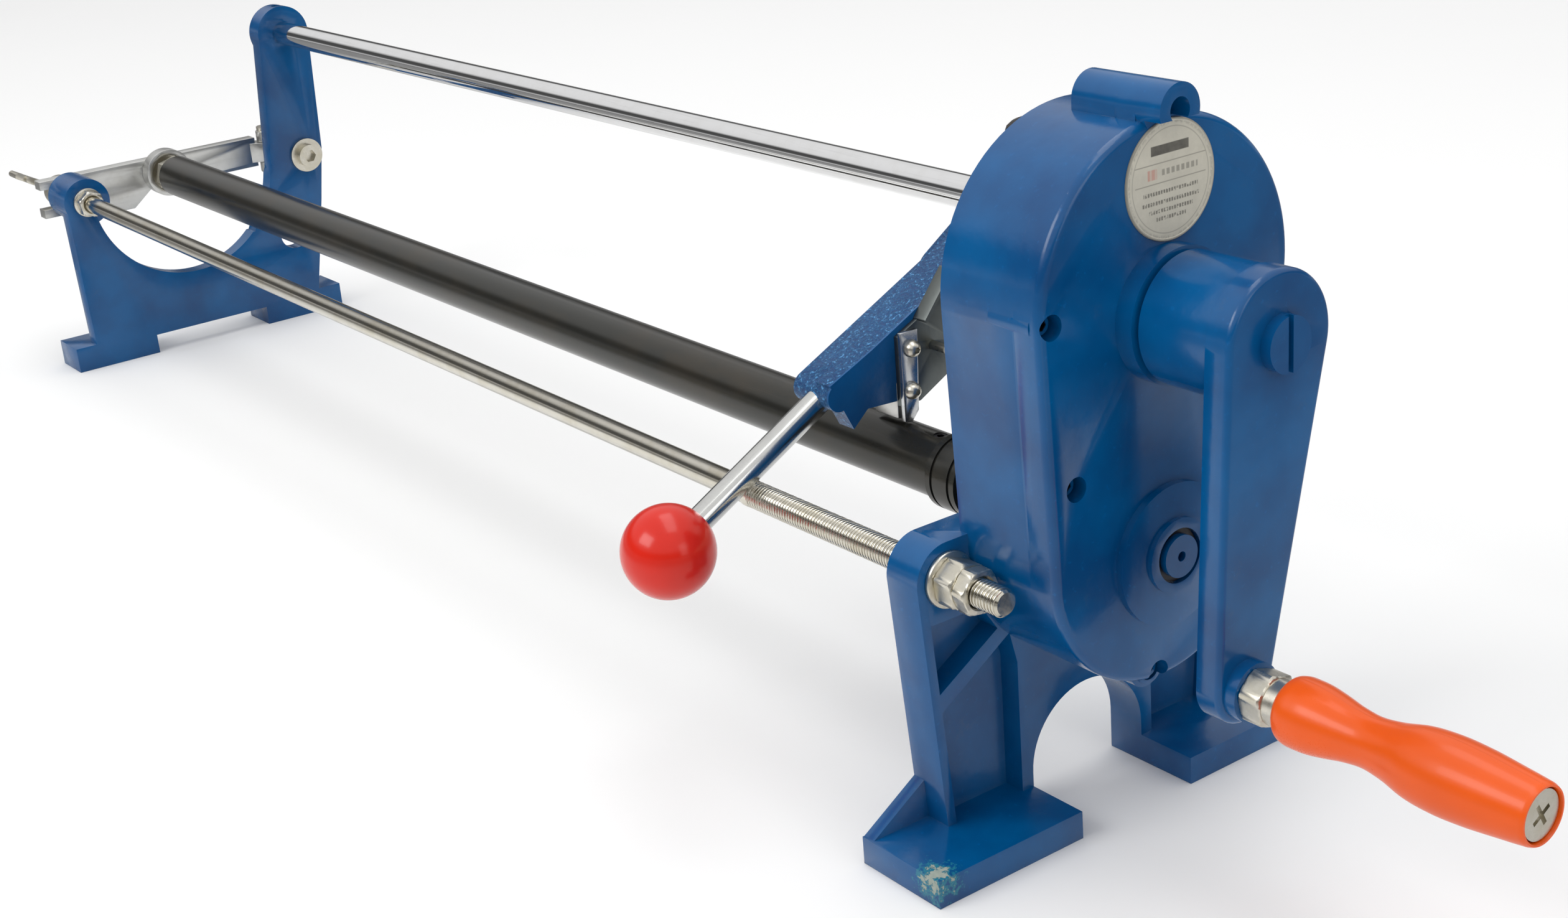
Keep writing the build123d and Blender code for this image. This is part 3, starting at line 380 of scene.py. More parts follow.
def mandrel_finish(name):
    """Blackened steel bar with turning marks, drawn scratches and brown oil stain."""
    bar = Finish(name)
    c = colours()
    along, rings = bar.noise(520, 3, 0.6, (0.03, 1, 1)), bar.noise(900, 1, 0.5, (1, 0.02, 0.02))
    stain = bar.noise(26, 5, 0.7, (0.5, 1, 1), seed=5.0)
    tone = bar.blend(stain.edge(0.45, 0.72) * 0.55, c.black, (0.062, 0.047, 0.030))
    tone = bar.blend(along.edge(0.60, 0.85) * 0.12, tone, (0.13, 0.125, 0.11))
    sheen = 0.21 + (stain - 0.5) * 0.14 + (along - 0.5) * 0.05
    return bar.done(tone, sheen, 0.45, along * 0.3 + rings * 0.5, 0.010 * MM)


def plastic_finish(name, colour, rough, seam_node=None, depth=0.02):
    """Moulded plastic with a faint flow pattern, tiny pits and, on a long piece, its mould's parting line."""
    skin = Finish(name)
    flow, pits = skin.noise(36, 3, 0.5, (0.4, 1, 1)), skin.noise(1600, 2)
    tone = skin.blend(flow.edge(0.35, 0.70), colour, shade(colour, 0.84))
    tone = skin.blend(skin.noise(900, 2, seed=1.7).edge(0.70, 0.80) * 0.20, tone, shade(colour, 0.45))
    height = pits * 0.6 + flow * 0.8
    if seam_node:
        across = skin.axes(middle(seam_node))[1]
        height = height + (1 - (abs(across) / (0.35 * MM)).held()) * 3.0
    sheen = rough + (flow - 0.5) * 0.14 + (pits - 0.5) * 0.08
    return skin.done(tone, sheen, 0.0, height, depth * MM, **PLASTIC_GLOSS)


def bar_mark(u, v, left, right, low, high, soft=0.012):
    """1 inside a printed bar, 0 outside."""
    across = ((u - left) / soft).held() * ((right - u) / soft).held()
    return across * ((v - low) / soft).held() * ((high - v) / soft).held()


def data_plate_finish(name, node):
    """Printed foil with rings, ruled lines and plain blocks in place of any print."""
    foil = Finish(name)
    c = colours()
    reach = girth(node)
    _, across, up = foil.axes(middle(node))
    u, v = across / reach, up / reach
    away = (u * u + v * v) ** 0.5
    ink = bar_mark(u, v, -0.44, 0.42, 0.44, 0.61) * 0.9
    for low in (0.30, -0.02):
        ink = ink + bar_mark(u, v, -0.80, 0.80, low, low + 0.028) * 0.55
    ticks = (u * 9.0).maths("PINGPONG", 0.5).edge(0.13, 0.24)
    ink = ink + ticks * bar_mark(u, v, -0.20, 0.62, 0.10, 0.21) * 0.5
    fine = (u * 17.0).maths("PINGPONG", 0.5).edge(0.10, 0.22) * foil.noise(700, 1, seed=9.0).edge(0.35, 0.45)
    for low, half in ((-0.20, 0.62), (-0.36, 0.66), (-0.50, 0.50), (-0.63, 0.34)):
        ink = ink + fine * bar_mark(u, v, -half, half, low, low + 0.075) * 0.75
    ring = (1 - (abs(away - 0.86) / 0.014).held()) * 0.45
    dots = foil.noise(900, 1, seed=4.0).edge(0.40, 0.55)
    band = (1 - (abs(away - 0.93) / 0.035).held()) * dots * 0.30
    ink = ink + away.edge(0.955, 0.985) * 0.6
    red = bar_mark(u, v, -0.52, -0.30, 0.06, 0.24) * (ticks * 0.5 + 0.4)
    worn = foil.noise(130, 5, 0.7)
    tone = foil.blend(worn.edge(0.35, 0.75) * 0.5, c.card, shade(c.card, 1.28))
    tone = foil.blend((red * 0.55).held(), tone, (0.55, 0.13, 0.09))
    tone = foil.blend(((ink + ring + band) * (0.7 + worn * 0.5)).held(), tone, (0.06, 0.055, 0.045))
    sheen, height = 0.42 + (worn - 0.5) * 0.2, worn + ink * 0.2
    return foil.done(tone, sheen, 0.0, height, 0.03 * MM, **{"Coat Weight": 0.15})


def metals():
    """Each metal finish by name: its colour, roughness and stain, and what differs from plain metal."""
    c = colours()
    along_x, up = {"stretch": (0.04, 1, 1)}, {"stretch": (1, 1, 0.1)}
    return {
        "black_screw": ((0.045, 0.045, 0.05), 0.36, (0.09, 0.07, 0.05), {"depth": 0.02}),
        "chrome": (
            c.chrome, 0.06, (0.62, 0.60, 0.56), along_x | {"scratch": 700, "depth": 0.003, "amount": 0.25}
        ),
        "zinc": (c.zinc, 0.30, (0.50, 0.44, 0.26), {"scratch": 500, "depth": 0.02, "amount": 0.45}),
        "zinc_rod": (
            c.zinc, 0.15, (0.46, 0.40, 0.25), along_x | {"scratch": 600, "depth": 0.01, "amount": 0.45}
        ),
        "bare_steel": (
            c.steel, 0.33, (0.40, 0.38, 0.33), {"stretch": (1, 0.1, 1), "scratch": 500, "depth": 0.03}
        ),
        "lever_steel": (
            c.steel, 0.16, (0.42, 0.42, 0.42), {"stretch": (1, 0.2, 0.2), "scratch": 500, "depth": 0.005}
        ),
        # steel darkened as painted shade, for the knife plate's face that lies in shade
        "plate_steel": ((0.15, 0.165, 0.16), 0.40, (0.09, 0.10, 0.10), up | {"scratch": 500}),
        "tool_steel": ((0.60, 0.61, 0.62), 0.24, (0.35, 0.33, 0.3), {"stretch": (0.1, 1, 1)}),
        "bearing_steel": ((0.70, 0.70, 0.71), 0.14, (0.5, 0.5, 0.5), {"depth": 0.004}),
        "cast_iron": ((0.22, 0.21, 0.20), 0.48, (0.10, 0.07, 0.04), {"depth": 0.05, "metal": 0.7}),
        "bronze": ((0.55, 0.36, 0.15), 0.32, (0.28, 0.17, 0.07), {"depth": 0.015}),
    }


def foot_corner():
    """Where the enamel is chipped: the front corner of the casing's near foot."""
    low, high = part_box("gear_casing")
    return high.x - 11 * MM, low.y + 2.5 * MM, low.z + 11 * MM


def finish_makers():
    """How each finish is made, by its name."""
    c = colours()
    made = {
        "head_enamel": partial(enamel_finish, chip=foot_corner()),
        "blue_enamel": enamel_finish,
        "sandy_enamel": partial(enamel_finish, roughness=0.42, lumps=0.30, grain_highlight_and_shade=0.75),
        "black_bar": mandrel_finish,
        "orange_plastic": partial(plastic_finish, colour=c.orange, rough=0.30, seam_node="handle_grip"),
        "red_plastic": partial(plastic_finish, colour=c.red, rough=0.20, depth=0.008),
        "black_plastic": partial(plastic_finish, colour=c.knob, rough=0.34),
        "data_plate_print": partial(data_plate_finish, node="data_plate"),
    }
    for name, (colour, rough, stain, rest) in metals().items():
        made[name] = partial(metal_finish, colour=colour, rough=rough, stain=stain, **rest)
    return made


@cache
def finish(name):
    """The finish of a name, made on first use."""
    return finish_makers()[name](name)


# ---- meshes
def placed(name, data):
    """A new object in the scene, at the origin."""
    made = bpy.data.objects.new(name, data)
    bpy.context.scene.collection.objects.link(made)
    return made


def add_piece(name, mesh, body, slot, look, *nodes, crease=32.0):
    """Puts a finished mesh in the scene, riding on its body and standing for its CAD nodes."""
    mesh.shade_smooth()
    mesh.set_sharp_from_angle(angle=radians(crease))
    mesh.materials.clear()
    mesh.materials.append(finish(look))
    mesh.name = name
    piece = placed(name, mesh)
    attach(piece, body)
    if nodes:
        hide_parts(*nodes)
    return piece


def mesh_of(made, name):
    """The plain mesh of a finished bmesh, which is freed."""
    mesh = bpy.data.meshes.new(name)
    made.to_mesh(mesh)
    made.free()
    return mesh


def at_angle(radius, angle):
    """A radius that may depend on the angle."""
    return radius(angle) if callable(radius) else radius


def cap(made, loop, spot):
    """Closes a loop of a bmesh with a fan of faces to a spot in its middle."""
    hub = made.verts.new(spot)
    for vert, after in zip(loop, loop[1:] + loop[:1]):
        made.faces.new((vert, after, hub))


def turned_mesh(name, rows, at, along=X_AXIS, sides=64, first=Y_AXIS, ring=False):
    """Closed turned body. A row is (distance along, radius), and a radius may depend on the angle.

    A ring has no end faces: its rows run round its section and the last joins the first.
    """
    made = bmesh.new()
    second = along.cross(first).normalized()
    angles = [2 * pi * index / sides for index in range(sides)]
    spokes = [first * cos(angle) + second * sin(angle) for angle in angles]
    loops = []
    for reach, radius in rows:
        hub = at + along * reach
        spots = [hub + spoke * at_angle(radius, angle) for spoke, angle in zip(spokes, angles)]
        loops.append([made.verts.new(spot) for spot in spots])
    for low, high in zip(loops, loops[1:] + (loops[:1] if ring else [])):
        for index in range(sides):
            after = (index + 1) % sides
            made.faces.new((low[index], high[index], high[after], low[after]))
    if not ring:
        cap(made, loops[0], at + along * rows[0][0])
        cap(made, loops[-1], at + along * rows[-1][0])
    bmesh.ops.recalc_face_normals(made, faces=made.faces)
    return mesh_of(made, name)


def hexagon(flats, turn=0.0):
    """Radius of a hexagon across its flats at an angle."""
    return lambda angle: flats / 2 / cos((angle - turn + pi / 6) % (pi / 3) - pi / 6)


def smaller(first, second):
    """The smaller of two radii, either of which may depend on the angle."""
    return lambda angle: min(at_angle(radius, angle) for radius in (first, second))


def merged_copy(node, name):
    """A welded copy of a CAD node with its flat faces whole."""
    made = bmesh.new()
    made.from_mesh(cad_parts[node].data)
    bmesh.ops.remove_doubles(made, verts=made.verts, dist=WELD)
    bmesh.ops.dissolve_limit(made, angle_limit=radians(0.6), verts=made.verts, edges=made.edges)
    return mesh_of(made, name)


def baked_mesh(holder):
    """The plain mesh of an object with its modifiers, which are then removed with it."""
    bpy.context.view_layer.update()
    graph = bpy.context.evaluated_depsgraph_get()
    mesh = bpy.data.meshes.new_from_object(holder.evaluated_get(graph))
    old = holder.data
    bpy.data.objects.remove(holder)
    if old.users == 0:
        bpy.data.meshes.remove(old)
    return mesh


def rounded_copy(node, name, width, steps=2, sharp=28.0):
    """A copy of a CAD node with every sharp edge rounded."""
    holder = placed(name + "_holder", merged_copy(node, name + "_holder"))
    bevel = holder.modifiers.new("Rounding", "BEVEL")
    bevel.width, bevel.segments = width, steps
    bevel.limit_method, bevel.angle_limit = "ANGLE", radians(sharp)
    bevel.use_clamp_overlap = True
    even = holder.modifiers.new("Even shading", "WEIGHTED_NORMAL")
    even.keep_sharp = True
    return baked_mesh(holder)


def add_eased(rows):
    """Pieces that are CAD nodes with eased edges: rows of (node, name, body, width, slot, look)."""
    for node, name, body, width, slot, look in rows:
        add_piece(name, rounded_copy(node, name, width), body, slot, look, node)


# ---- geometry nodes
class Growth(Nodes):
    """A geometry node tree with named inputs."""

    def __init__(self, name):
        super().__init__(bpy.data.node_groups.new(name, "GeometryNodeTree"))
        self.tree.interface.new_socket("Geometry", in_out="OUTPUT", socket_type="NodeSocketGeometry")
        self.entry = None
        self.keys = {}
        self.input("Geometry", "NodeSocketGeometry")

    def input(self, name, kind, default=None):
        """Adds a named input and returns nothing: link it with take."""
        made = self.tree.interface.new_socket(name, in_out="INPUT", socket_type=kind)
        if default is not None:
            made.default_value = default
        self.keys[name] = made.identifier

    def take(self, name):
        """Output socket of a named input."""
        if self.entry is None:
            self.entry = self.node("NodeGroupInput")
        return self.entry.outputs[name]

    def close(self, geometry):
        """Ends the tree in Realize Instances and Set Material."""
        real = self.node("GeometryNodeRealizeInstances", None, {0: geometry})
        sockets = {0: real.outputs[0], "Material": self.take("Material")}
        paint = self.node("GeometryNodeSetMaterial", None, sockets)
        self.node("NodeGroupOutput", None, {0: paint.outputs[0]})
        return self


@cache
def scatter_tree():
    """A template piece set on every point of a mesh, turned by its own angle."""
    tree = Growth("Set on points")
    tree.input("Template", "NodeSocketObject")
    tree.input("Material", "NodeSocketMaterial")
    tree.input("Size", "NodeSocketFloat", 1.0)
    tree.input("Turn step", "NodeSocketFloat", 0.6)
    settings = {"transform_space": "ORIGINAL"}
    info = tree.node("GeometryNodeObjectInfo", settings, {"Object": tree.take("Template")})
    index = tree.node("GeometryNodeInputIndex")
    factors = {0: index.outputs[0], 1: tree.take("Turn step")}
    angle = tree.node("ShaderNodeMath", {"operation": "MULTIPLY"}, factors)
    spin = tree.node("ShaderNodeCombineXYZ", None, {"X": angle.outputs[0]})
    sockets = {"Points": tree.take("Geometry"), "Instance": info.outputs["Geometry"]}
    sockets.update({"Rotation": spin.outputs[0], "Scale": tree.take("Size")})
    placed = tree.node("GeometryNodeInstanceOnPoints", None, sockets)
    return tree.close(placed.outputs[0])


@cache
def thread_tree():
    """A helical ridge along X."""
    tree = Growth("Screw thread")
    tree.input("Material", "NodeSocketMaterial")
    tree.input("Turns", "NodeSocketFloat", 10.0)
    tree.input("Radius", "NodeSocketFloat", 5 * MM)
    tree.input("Length", "NodeSocketFloat", 10 * MM)
    tree.input("Ridge", "NodeSocketFloat", 0.5 * MM)
    sockets = {"Resolution": 28, "Rotations": tree.take("Turns"), "Start Radius": tree.take("Radius")}
    sockets.update({"End Radius": tree.take("Radius"), "Height": tree.take("Length")})
    line = tree.node("GeometryNodeCurveSpiral", None, sockets)
    sockets = {"Resolution": 6, "Radius": tree.take("Ridge")}
    section = tree.node("GeometryNodeCurvePrimitiveCircle", {"mode": "RADIUS"}, sockets)
    sockets = {"Curve": line.outputs[0], "Profile Curve": section.outputs[0], "Fill Caps": True}
    skin = tree.node("GeometryNodeCurveToMesh", None, sockets)
    laid = tree.node("GeometryNodeTransform", None, {"Geometry": skin.outputs[0], "Rotation": (0, pi / 2, 0)})
    return tree.close(laid.outputs[0])


def grown_mesh(tree, seedlings, settings):
    """Runs a geometry node tree on a mesh and returns the plain result."""
    holder = placed("seedlings", seedlings)
    modifier = holder.modifiers.new("Growth", "NODES")
    modifier.node_group = tree.tree
    for name, value in settings.items():
        modifier[tree.keys[name]] = value
    return baked_mesh(holder)


def points_mesh(spots):
    """A mesh of loose points."""
    mesh = bpy.data.meshes.new("points")
    mesh.from_pydata([tuple(s) for s in spots], [], [])
    return mesh


def scattered(name, template_mesh, spots, look, turn_step=0.6):
    """The template set on every spot, as one plain mesh."""
    template = placed("template", template_mesh)
    settings = {"Template": template, "Material": finish(look), "Size": 1.0, "Turn step": turn_step}
    mesh = grown_mesh(scatter_tree(), points_mesh(spots), settings)
    bpy.data.objects.remove(template)
    mesh.name = name
    return mesh


def thread_mesh(start, run, radius, ridge, pitch, look):
    """A helical thread from a start point along X."""
    settings = {"Material": finish(look), "Turns": run / pitch}
    settings.update({"Radius": radius, "Length": run, "Ridge": ridge})
    mesh = grown_mesh(thread_tree(), points_mesh([(0, 0, 0)]), settings)
    mesh.transform(Matrix.Translation(start))
    return mesh


def solid_boxes(node):
    """Lowest and highest corners of each separate solid in a CAD node."""
    made = bmesh.new()
    made.from_mesh(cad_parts[node].data)
    bmesh.ops.remove_doubles(made, verts=made.verts, dist=WELD)
    left, found = set(made.verts), []
    while left:
        group, edge = set(), [left.pop()]
        while edge:
            vert = edge.pop()
            group.add(vert)
            for link in vert.link_edges:
                other = link.other_vert(vert)
                if other in left:
                    left.discard(other)
                    edge.append(other)
        points = np.array([v.co for v in group])
        found.append((Vector(points.min(0)), Vector(points.max(0))))
    made.free()
    return sorted(found, key=lambda pair: (round(pair[0].x, 5), pair[0].z))


def head_seats(boxes, tall):
    """Where the underside of each screw's head lies: its height behind the screw's front."""
    return [(high.x - tall, (low.y + high.y) / 2, (low.z + high.z) / 2) for low, high in boxes]


# ---- operators
class Maker:
    """What the operators share."""
    bl_options = {"REGISTER", "UNDO"}

    @property
    def sizes(self):
        return bpy.context.scene.cutter_sizes


class CUTTER_OT_stage(Maker, Operator):
    """Camera, pale floor, soft lights and backdrop"""
    bl_idname, bl_label = "cutter.stage", "Stage"
    # height towards the zenith and brightness; the dark band is what polished parts mirror
    sky_levels = ((0.0, 0.8), (0.03, 0.45), (0.09, 0.08), (0.26, 0.08), (0.37, 0.85), (1.0, 1.0))

    def execute(self, context):
        stage = context.scene.cutter_stage
        self.camera(context, stage)
        self.floor(context, stage)
        self.sky(context, stage)
        self.softbox("key_light", (-0.3, -2.6, 2.2), (1.9, 1.3), stage.key_power)
        self.softbox("top_light", (0.1, 0.3, 2.6), (2.6, 1.0), stage.fill_power * 1.6)
        self.softbox("front_light", (2.7, 0.2, 1.0), (0.8, 1.2), stage.fill_power * 0.35)
        context.scene.view_settings.view_transform = "Standard"
        return {"FINISHED"}

    def camera(self, context, stage):
        """The camera from its turn, rise and tilt."""
        turn, rise, roll = stage.azimuth, stage.elevation, stage.roll
        right = Vector((cos(turn), sin(turn), 0))
        back = Vector((sin(turn) * cos(rise), -cos(turn) * cos(rise), sin(rise)))
        up = back.cross(right)
        tilted_right = right * cos(roll) + up * sin(roll)
        tilted_up = up * cos(roll) - right * sin(roll)
        facing = Matrix((tilted_right, tilted_up, back)).transposed().to_4x4()
        data = bpy.data.cameras.new("camera")
        data.lens, data.sensor_width = stage.lens, 36.0
        data.clip_start, data.clip_end = 0.02, 200
        camera = placed("camera", data)
        camera.matrix_world = Matrix.Translation(stage.place) @ facing
        context.scene.camera = camera

    def floor(self, context, stage):
        """A wide floor just under the feet."""
        made = bmesh.new()
        bmesh.ops.create_grid(made, x_segments=1, y_segments=1, size=40)
        mesh = mesh_of(made, "floor")
        mesh.materials.append(self.paper(stage))
        floor = placed("floor", mesh)
        floor.location.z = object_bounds()[0].z - 0.1 * MM
        floor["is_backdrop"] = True

    def paper(self, stage):
        """Pale paper that polished parts see darker beyond the object, as in a dim room."""
        paper = Finish("floor_paper")
        x, y, _ = paper.axes()
        far = ((x * x + y * y) ** 0.5).edge(0.40, 1.0)
        seen = Tone(paper, paper.node("ShaderNodeLightPath").outputs["Is Glossy Ray"])
        tone = paper.blend(paper.noise(3, 2), stage.floor, shade(stage.floor, 0.985))
        tone = paper.blend(far * seen * 0.85, tone, shade(stage.floor, 0.10))
        return paper.done(tone, 0.8)

    def sky(self, context, stage):
        """A pale backdrop whose brightness changes with height."""
        world = bpy.data.worlds.new("backdrop")
        world.use_nodes = True
        dome = Nodes(world.node_tree)
        dome.tree.nodes.clear()
        coords = dome.node("ShaderNodeTexCoord")
        parts = dome.node("ShaderNodeSeparateXYZ", None, {0: coords.outputs["Generated"]})
        stops = [(spot, shade(stage.sky, level)) for spot, level in self.sky_levels]
        ramp = dome.node("ShaderNodeValToRGB", {"stops": stops}, {0: parts.outputs["Z"]})
        light = dome.node("ShaderNodeBackground", None, {"Color": ramp.outputs[0], "Strength": 1.0})
        dome.node("ShaderNodeOutputWorld", None, {"Surface": light.outputs[0]})
        context.scene.world = world

    def softbox(self, name, place, size, watts):
        """A rectangular lamp that faces the origin."""
        data = bpy.data.lights.new(name, "AREA")
        data.shape, data.size, data.size_y = "RECTANGLE", size[0], size[1]
        data.energy = watts
        lamp = placed(name, data)
        lamp.location = place
        lamp.rotation_mode = "QUATERNION"
        lamp.rotation_quaternion = Vector(place).to_track_quat("Z", "Y")


class CUTTER_OT_castings(Maker, Operator):
    """Painted castings with rounded edges"""
    bl_idname, bl_label = "cutter.castings", "Castings"

    def execute(self, context):
        wide, blue = self.sizes.casting_round, "blue_enamel"
        add_eased((
            ("gear_casing", "head_casting", "frame", wide, blue, "head_enamel"),
            ("gear_cover", "head_cover", "frame", wide * 0.6, blue, blue),
            ("far_frame", "far_end_frame", "frame", wide * 0.9, blue, blue),
            ("crank_arm", "crank_casting", "crank", wide * 0.7, blue, blue),
            ("cutter_lever", "lever_casting", "lever", wide * 0.8, blue, "sandy_enamel"),
            ("carriage_collar", "slide_collar", "carriage", wide * 0.6, blue, blue),
        ))
        return {"FINISHED"}


class CUTTER_OT_gate(Maker, Operator):
    """Bare steel gate, its hinge, tail cup and wing nut"""
    bl_idname, bl_label = "cutter.gate", "Gate"

    def execute(self, context):
        small, steel = self.sizes.small_round, "bare_steel"
        add_eased((
            ("gate_bar", "swing_gate", "gate", small * 2, steel, steel),
            ("tail_bearing_cup", "tail_cup", "gate", small, steel, steel),
            ("hinge_block", "gate_hinge_block", "frame", small * 1.6, steel, steel),
            ("wing_nut", "gate_wing_nut", "wing_nut", small * 2, "zinc", "zinc"),
        ))
        return {"FINISHED"}


class CUTTER_OT_cover_screws(Maker, Operator):
    """Socket-head screws of the cover"""
    bl_idname, bl_label = "cutter.cover_screws", "Cover screws"
    tall, shank, shank_run = 5 * MM, 2.4 * MM, 6 * MM
    socket_deep = 3 * MM

    def execute(self, context):
        boxes = solid_boxes("cover_screws")
        seats = head_seats(boxes, self.tall)
        flats = 2 * self.sizes.screw_socket
        screw = turned_mesh("screw", self.screw_rows(girth_of(boxes[0]), hexagon(flats)), Vector(), sides=36)
        mesh = scattered("cover_socket_screws", screw, seats, "blue_enamel")
        add_piece("cover_socket_screws", mesh, "frame", "black_finish", "blue_enamel", "cover_screws")
        # a dark sheet inside each socket: painted shade in the hollow
        shade_liner = turned_mesh("shade_liner", self.shade_liner_rows(flats), Vector(), sides=36)
        mesh = scattered("cover_screw_sockets", shade_liner, seats, "black_screw")
        add_piece("cover_screw_sockets", mesh, "frame", "black_finish", "black_screw")
        return {"FINISHED"}

    def screw_rows(self, head, socket):
        """A screw from its shank's end to the floor of its socket."""
        tall, soft = self.tall, 0.5 * MM
        rows = [(-self.shank_run, self.shank), (0, self.shank), (0, head - 0.3 * MM), (0.4 * MM, head)]
        rows += [(tall - soft, head), (tall, head - soft), (tall, socket), (tall - self.socket_deep, socket)]
        return rows

    def shade_liner_rows(self, flats):
        """A dark sheet on the wall and floor of a socket, standing for painted shade in the socket's hollow.
        """
        wall, inner = hexagon(flats - 0.1 * MM), hexagon(flats - 0.6 * MM)
        rim, floor = self.tall - 0.3 * MM, self.tall - self.socket_deep
        return [(floor + 0.05 * MM, wall), (rim, wall), (rim, inner), (floor + 0.3 * MM, inner)]


class CUTTER_OT_tie_rod(Maker, Operator):
    """Tie rod with rolled threads, chamfered nuts and washers"""
    bl_idname, bl_label = "cutter.tie_rod", "Tie rod"
    near_run, far_run = 160 * MM, 26 * MM
    far_step = 0.5 * MM
    nut_flats = (16 * MM, 18 * MM, 17 * MM)
    nut_turns = (radians(10), radians(8), radians(22))

    def execute(self, context):
        low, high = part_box("front_tie_rod")
        near_start, far_end = high.x - self.near_run, low.x + self.far_run
        thick, ridge = girth("front_tie_rod"), self.sizes.thread_ridge
        thin = thick - self.far_step
        at = back_middle(low, high)
        at.x = 0
        rows = self.rod_rows(low.x, far_end, near_start, high.x, thick, thin)
        rod = turned_mesh("tie_rod", rows, at, sides=40)
        add_piece("tie_rod", rod, "frame", "zinc", "zinc_rod", "front_tie_rod")
        near = ("near", near_start + 4 * MM, high.x - 1.2 * MM, thick)
        far = ("far", low.x + 1 * MM, far_end - 1 * MM, thin)
        for name, start, end, radius in (near, far):
            place = Vector((start, at.y, at.z))
            mesh = thread_mesh(
                place, end - start, radius - ridge, ridge * 0.92, self.sizes.thread_pitch, "zinc_rod"
            )
            add_piece(f"{name}_thread", mesh, "frame", "zinc", "zinc_rod", crease=70)
        self.nuts(thick, thin)
        return {"FINISHED"}

    def rod_rows(self, far_tip, far_end, near_start, near_tip, thick, thin):
        """The rod from its far tip, cut down to the thread's root at both ends."""
        root, far_root = thick - self.sizes.thread_ridge, thin - self.sizes.thread_ridge
        rows = [(far_tip, far_root - 0.8 * MM), (far_tip + 0.8 * MM, far_root), (far_end, far_root)]
        rows += [(far_end + 0.6 * MM, thin), (near_start - 1.5 * MM, thin), (near_start, thick)]
        rows += [(near_start + 2 * MM, thick), (near_start + 3 * MM, root), (near_tip - 1 * MM, root)]
        return rows + [(near_tip, root - 0.9 * MM)]

    def nuts(self, thick, thin):
        """Nuts and washers from the far end. The first of each is on the thinner end."""
        for index, (low, high) in enumerate(solid_boxes("tie_rod_nuts")):
            flats, turn = self.nut_flats[index], self.nut_turns[index]
            nut = nut_mesh(f"nut_{index}", low, high, flats, thick if index else thin, turn)
            self.fastener("tie_rod_nut", index, nut)
        for index, (low, high) in enumerate(solid_boxes("tie_rod_washers")):
            washer = washer_mesh(f"washer_{index}", low, high, thick if index else thin)
            self.fastener("tie_rod_washer", index, washer)

    def fastener(self, name, index, mesh):
        """One of a row of fasteners. The first stands for the whole CAD node."""
        nodes = () if index else (name + "s",)
        add_piece(f"{name}_{index + 1}", mesh, "frame", "zinc", "zinc", *nodes)


def nut_mesh(name, low, high, flats, bore, turn):
    """Hexagon nut with turned chamfers and a countersunk bore, in a box along X."""
    tall, corner = high.x - low.x, flats / sqrt(3)
    shape, cut = hexagon(flats, turn), flats / 2 * 0.97
    between = smaller(shape, (cut + corner) / 2)
    rise = (corner - cut) * 0.55
    mouth, inside = bore + 0.9 * MM, bore + 0.05 * MM
    sunk = min(1.0 * MM, tall / 4)
    rows = [(0, mouth), (0, cut), (rise * 0.5, between), (rise, shape)]
    rows += [(tall - rise, shape), (tall - rise * 0.5, between), (tall, cut)]
    rows += [(tall, mouth), (tall - sunk, inside), (sunk, inside)]
    return turned_mesh(name, rows, back_middle(low, high), sides=72, ring=True)


def washer_mesh(name, low, high, bore):
    """Flat washer with a rolled outer edge."""
    tall, rim = high.x - low.x, (high.z - low.z) / 2
    soft, edge = tall * 0.25, 0.3 * MM
    rows = [(0, bore), (0, rim - soft), (soft * 0.4, rim - soft * 0.3), (soft, rim)]
    rows += [(tall - soft, rim), (tall - soft * 0.4, rim - soft * 0.3), (tall, rim - soft)]
    rows += [(tall, bore + edge), (tall - edge, bore)]
    return turned_mesh(name, rows, back_middle(low, high), sides=64, ring=True)


